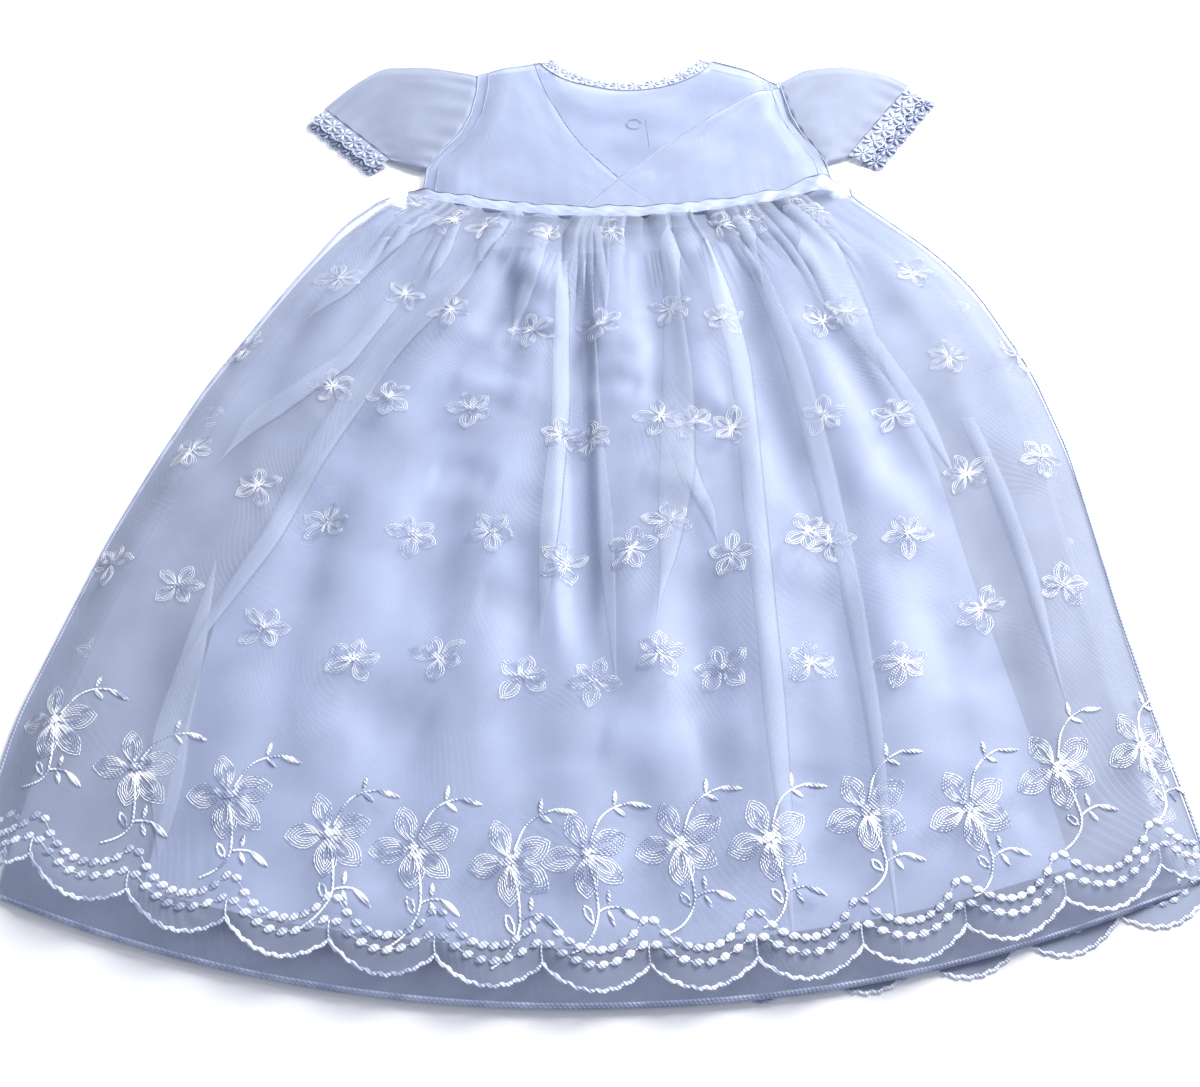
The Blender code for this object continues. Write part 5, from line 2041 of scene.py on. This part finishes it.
    def lace(self, arm: Arm, facing: Facing) -> None:
        """Corded daisies on a net along one face of a cuff.

        Args:
            arm: The sleeve.
            facing: The face, up for the front one.
        """
        if facing is Facing.UP:
            high, low, slipped = self.CUFF_HEIGHT - 0.0006, 0.0026, 0.0
        else:
            high, low, slipped = 0.0007, 0.0007, self.LACE_BACK_SLIP

        def place(across: float, reach: float) -> np.ndarray:
            """Point of the lace.

            Args:
                across: Share along the cuff.
                reach: Distance out from it.

            Returns:
                The point.
            """
            spot, out = self.cuff(arm, across)
            spot = spot + out * reach + np.array(CUFF_SLIP[arm]) * slipped
            return np.array((*spot, blend(high, low, min(reach / self.LACE_DROP, 1.0))))
        lace_along(f"sleeve_lace_{arm.value}_{facing.value}", place, self.LACE_DAISIES, self.LACE_WIDTH,
                   np.linalg.norm(place(1.0, 0.0) - place(0.0, 0.0)))


def lace_along(node: str, place: Surface, daisies: int, width: float, length: float) -> None:
    """A strip of corded daisy lace along an edge.

    Args:
        node: The CAD node that it stands for.
        place: Gives a point for a share along the edge and a distance out from it.
        daisies: Number of daisies.
        width: Width of the lace.
        length: Length of the edge.
    """
    needle = Needle()
    pitch, middle, petals = length / daisies, width * 0.52, 7

    def spot(k: float, right: float, out: float) -> np.ndarray:
        """Point on the net at a distance from the middle of daisy k."""
        return place(float(np.clip((k + right / pitch) / daisies, 0, 1)), middle + out) + CORD_LIFT
    radius = min(pitch, width) / 2
    for k in range(daisies):
        for petal in range(petals):
            bearing = 2 * math.pi * petal / petals + 0.4 * k
            ray = np.array((math.cos(bearing), math.sin(bearing)))
            line = [spot(k + 0.5, *(ray * radius * reach)) for reach in (0.24, 0.42, 0.62, 0.82, 1.0)]
            needle.add(line, radius * np.array((0.06, 0.15, 0.21, 0.20, 0.08)))
        ring = [spot(k + 0.5, radius * 0.18 * math.cos(t), radius * 0.18 * math.sin(t))
                for t in np.linspace(0, 2 * math.pi, 8, endpoint=False)]
        needle.add(ring, 0.00035, True)
    picots = []
    steps = daisies * 18
    for k in range(steps + 1):
        wave = abs(math.sin(math.pi * daisies * k / steps))
        picot = PICOT * abs(math.sin(math.pi * daisies * 4.5 * k / steps))
        picots.append(place(k / steps, width * (0.86 + 0.12 * wave) + picot) + CORD_LIFT)
    needle.add(picots, 0.0004)
    # The sleeves' back lace takes the darker copies of net and cord, as painted shade
    painted_shade = "sleeve" in node and node.endswith("back")
    cords = dressed(needle.make(node + "_cords"), LACE_CORD_BACK if painted_shade else LACE_CORD)

    def ground(across: float, down: float) -> np.ndarray:
        """Point of the net at shares across and down it."""
        wave = abs(math.sin(math.pi * daisies * across))
        return place(across, blend(0.0006, width * (0.85 + 0.12 * wave), down))
    net = net_of(ground, daisies * 8, 4)
    cut = (length * LACE_EASE, max(width, LEAST_WIDTH))
    piece = dressed(spread(node + "_net", net, cut), LACE_NET_BACK if painted_shade else LACE_NET, [node])
    net.flat_area(cut)


class NeckLace:
    """Narrow daisy lace in the neck opening."""

    WIDTH = 0.0085
    STEP, END_GAP = 0.004, 0.012
    FRONT_Z, BACK_Z = 0.0058, 0.0007

    def strip(self, node: str, first: float, last: float, depth: float, power: float, daisies: int,
              height: Callable[[float], float]) -> None:
        """One stretch of the lace.

        Args:
            node: The CAD node that it stands for.
            first: Share of the top edge where it starts.
            last: Share of the top edge where it ends.
            depth: Depth of the neckline.
            power: Roundness of the neckline.
            daisies: Number of daisies.
            height: Gives its height at an x.
        """
        def place(across: float, reach: float) -> np.ndarray:
            """Point of the lace.

            Args:
                across: Share along the strip.
                reach: Distance into the neck.

            Returns:
                The point.
            """
            share = blend(first, last, across)
            x, y = top_path(share, depth, power)
            before = np.array(top_path(max(share - self.STEP, SHOULDER_SHARE), depth, power))
            after = np.array(top_path(min(share + self.STEP, 1 - SHOULDER_SHARE), depth, power))
            run = (after - before) / np.linalg.norm(after - before)
            x, y = x - run[1] * reach, y + run[0] * reach
            return np.array((x, y, height(x)))
        points = [place(k / 60, 0.004) for k in range(61)]
        length = sum(float(np.linalg.norm(a - b)) for a, b in zip(points, points[1:]))
        lace_along(node, place, daisies, self.WIDTH, length)

    def make(self) -> None:
        """Builds the front's and both backs' lace."""
        start, end = SHOULDER_SHARE + self.END_GAP, 1 - SHOULDER_SHARE - self.END_GAP
        bodice = Bodice()
        self.strip("neck_lace_front", start, end, FRONT_NECK_DEPTH, FRONT_NECK_POWER, 14,
                   lambda x: self.FRONT_Z)
        self.strip("neck_lace_back_left", start, neck_share(PLACKET_RIGHT), BACK_NECK_DEPTH,
                   BACK_NECK_POWER, 9, lambda x: self.BACK_Z)
        self.strip("neck_lace_back_right", neck_share(PLACKET_LEFT), end, BACK_NECK_DEPTH,
                   BACK_NECK_POWER, 8, lambda x: self.BACK_Z + bodice.lap(x))


class Ribbon:
    """The satin ribbon over the waist seam."""

    LENGTH = 0.262

    def front(self, across: float, down: float) -> tuple[float, float, float]:
        """Point of the front run, crimped where the gathers push it.

        Args:
            across: Share from its left end to its right one.
            down: Share from its upper edge to its lower one.

        Returns:
            The point.
        """
        x, turn = blend(RIBBON_LEFT, RIBBON_RIGHT, across), 2 * math.pi * across
        wave = 0.0006 * math.sin(9 * turn) + 0.0003 * math.sin(22 * turn + 1)
        raised = float(ease((across - 0.86) / 0.06)) * (1 - float(ease((across - 0.965) / 0.03)))
        y = waist(x) + blend(RIBBON_WIDTH / 2 + wave + 0.0015 * raised, -RIBBON_WIDTH / 2, down)
        end = min(x - RIBBON_LEFT, RIBBON_RIGHT - x)
        base = blend(0.0052, 0.0110, float(ease(end / 0.014)))
        crimp = 0.0006 * math.sin(11.3 * turn + 2 * down) * math.sin(5.1 * turn)
        crimp += 0.00025 * math.sin(23 * turn + 9 * across * across) * math.sin(3 * math.pi * down)
        crown = 0.0004 * math.sin(math.pi * down)
        return x, y, base + crimp + crown + 0.0025 * raised * (1 - down)

    def back(self, across: float, down: float) -> tuple[float, float, float]:
        """Point of the back run."""
        x = blend(RIBBON_LEFT, RIBBON_RIGHT, across)
        return x, waist(x) + RIBBON_WIDTH * (0.5 - down), 0.0006

    def make(self) -> None:
        """Builds both runs of the ribbon."""
        for node, place, facing, held in (
                ("waist_ribbon_front", self.front, Facing.UP, "stretched"),
                ("waist_ribbon_back", self.back, Facing.DOWN, "laid")):
            piece = spread(node + "_satin", net_of(place, 220, 6), (self.LENGTH, RIBBON_WIDTH), facing)
            dressed(piece, RIBBON, [node])
        needle = Needle()
        for down in (0.0, 1.0):
            edge = np.array([self.front(across, down) for across in np.linspace(0, 1, 221)])
            needle.add(edge + (0, 0, 0.0002), 0.00035)
        dressed(needle.make("waist_ribbon_front_edges"), EDGE)


@dataclass(frozen=True)
class Softbox:
    """A large soft light: where it stands, how large it is, its power and its colour."""

    name: str
    place: tuple[float, float, float]
    size: float
    watts: float
    colour: str

    def make(self) -> None:
        """Adds the light, turned to the gown's middle."""
        deselect()
        bpy.ops.object.light_add(type="AREA", location=self.place)
        light = bpy.context.object
        light.name = self.name
        light.data.shape = "DISK"
        light.data.size = self.size
        light.data.energy = self.watts
        light.data.color = linear(self.colour)[:3]
        aim = Vector((0.0, -0.15, 0.0)) - Vector(self.place)
        light.rotation_euler = aim.to_track_quat("-Z", "Y").to_euler()


class Studio:
    """Floor, light and sky."""

    KEY = Softbox("key_light", (1.35, 1.05, 1.20), 1.2, 96.0, "#FFFFFF")
    SKY, SKY_STRENGTH = "#E9EEFF", 0.53

    def make(self) -> None:
        """Builds the studio and sets plain colour rendering."""
        deselect()
        bpy.ops.mesh.primitive_circle_add(vertices=96, radius=6.0, fill_type="NGON")
        floor = bpy.context.object
        floor.name = "floor"
        floor.data.materials.append(FLOOR.material())
        world = bpy.data.worlds.new("sky")
        bpy.context.scene.world = world
        world.use_nodes = True
        sky = world.node_tree.nodes["Background"]
        sky.inputs["Color"].default_value = linear(self.SKY)
        sky.inputs["Strength"].default_value = self.SKY_STRENGTH
        self.KEY.make()
        bpy.context.scene.view_settings.view_transform = "Standard"


def main() -> None:
    """Builds the gown and the studio."""
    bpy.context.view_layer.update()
    logging.basicConfig(level=logging.INFO, format="%(name)s: %(message)s")
    PHOTO.camera()
    Studio().make()
    Skirt().make()
    Bodice().make()
    Sleeves().make()
    NeckLace().make()
    Ribbon().make()


if __name__ == "__main__":
    main()
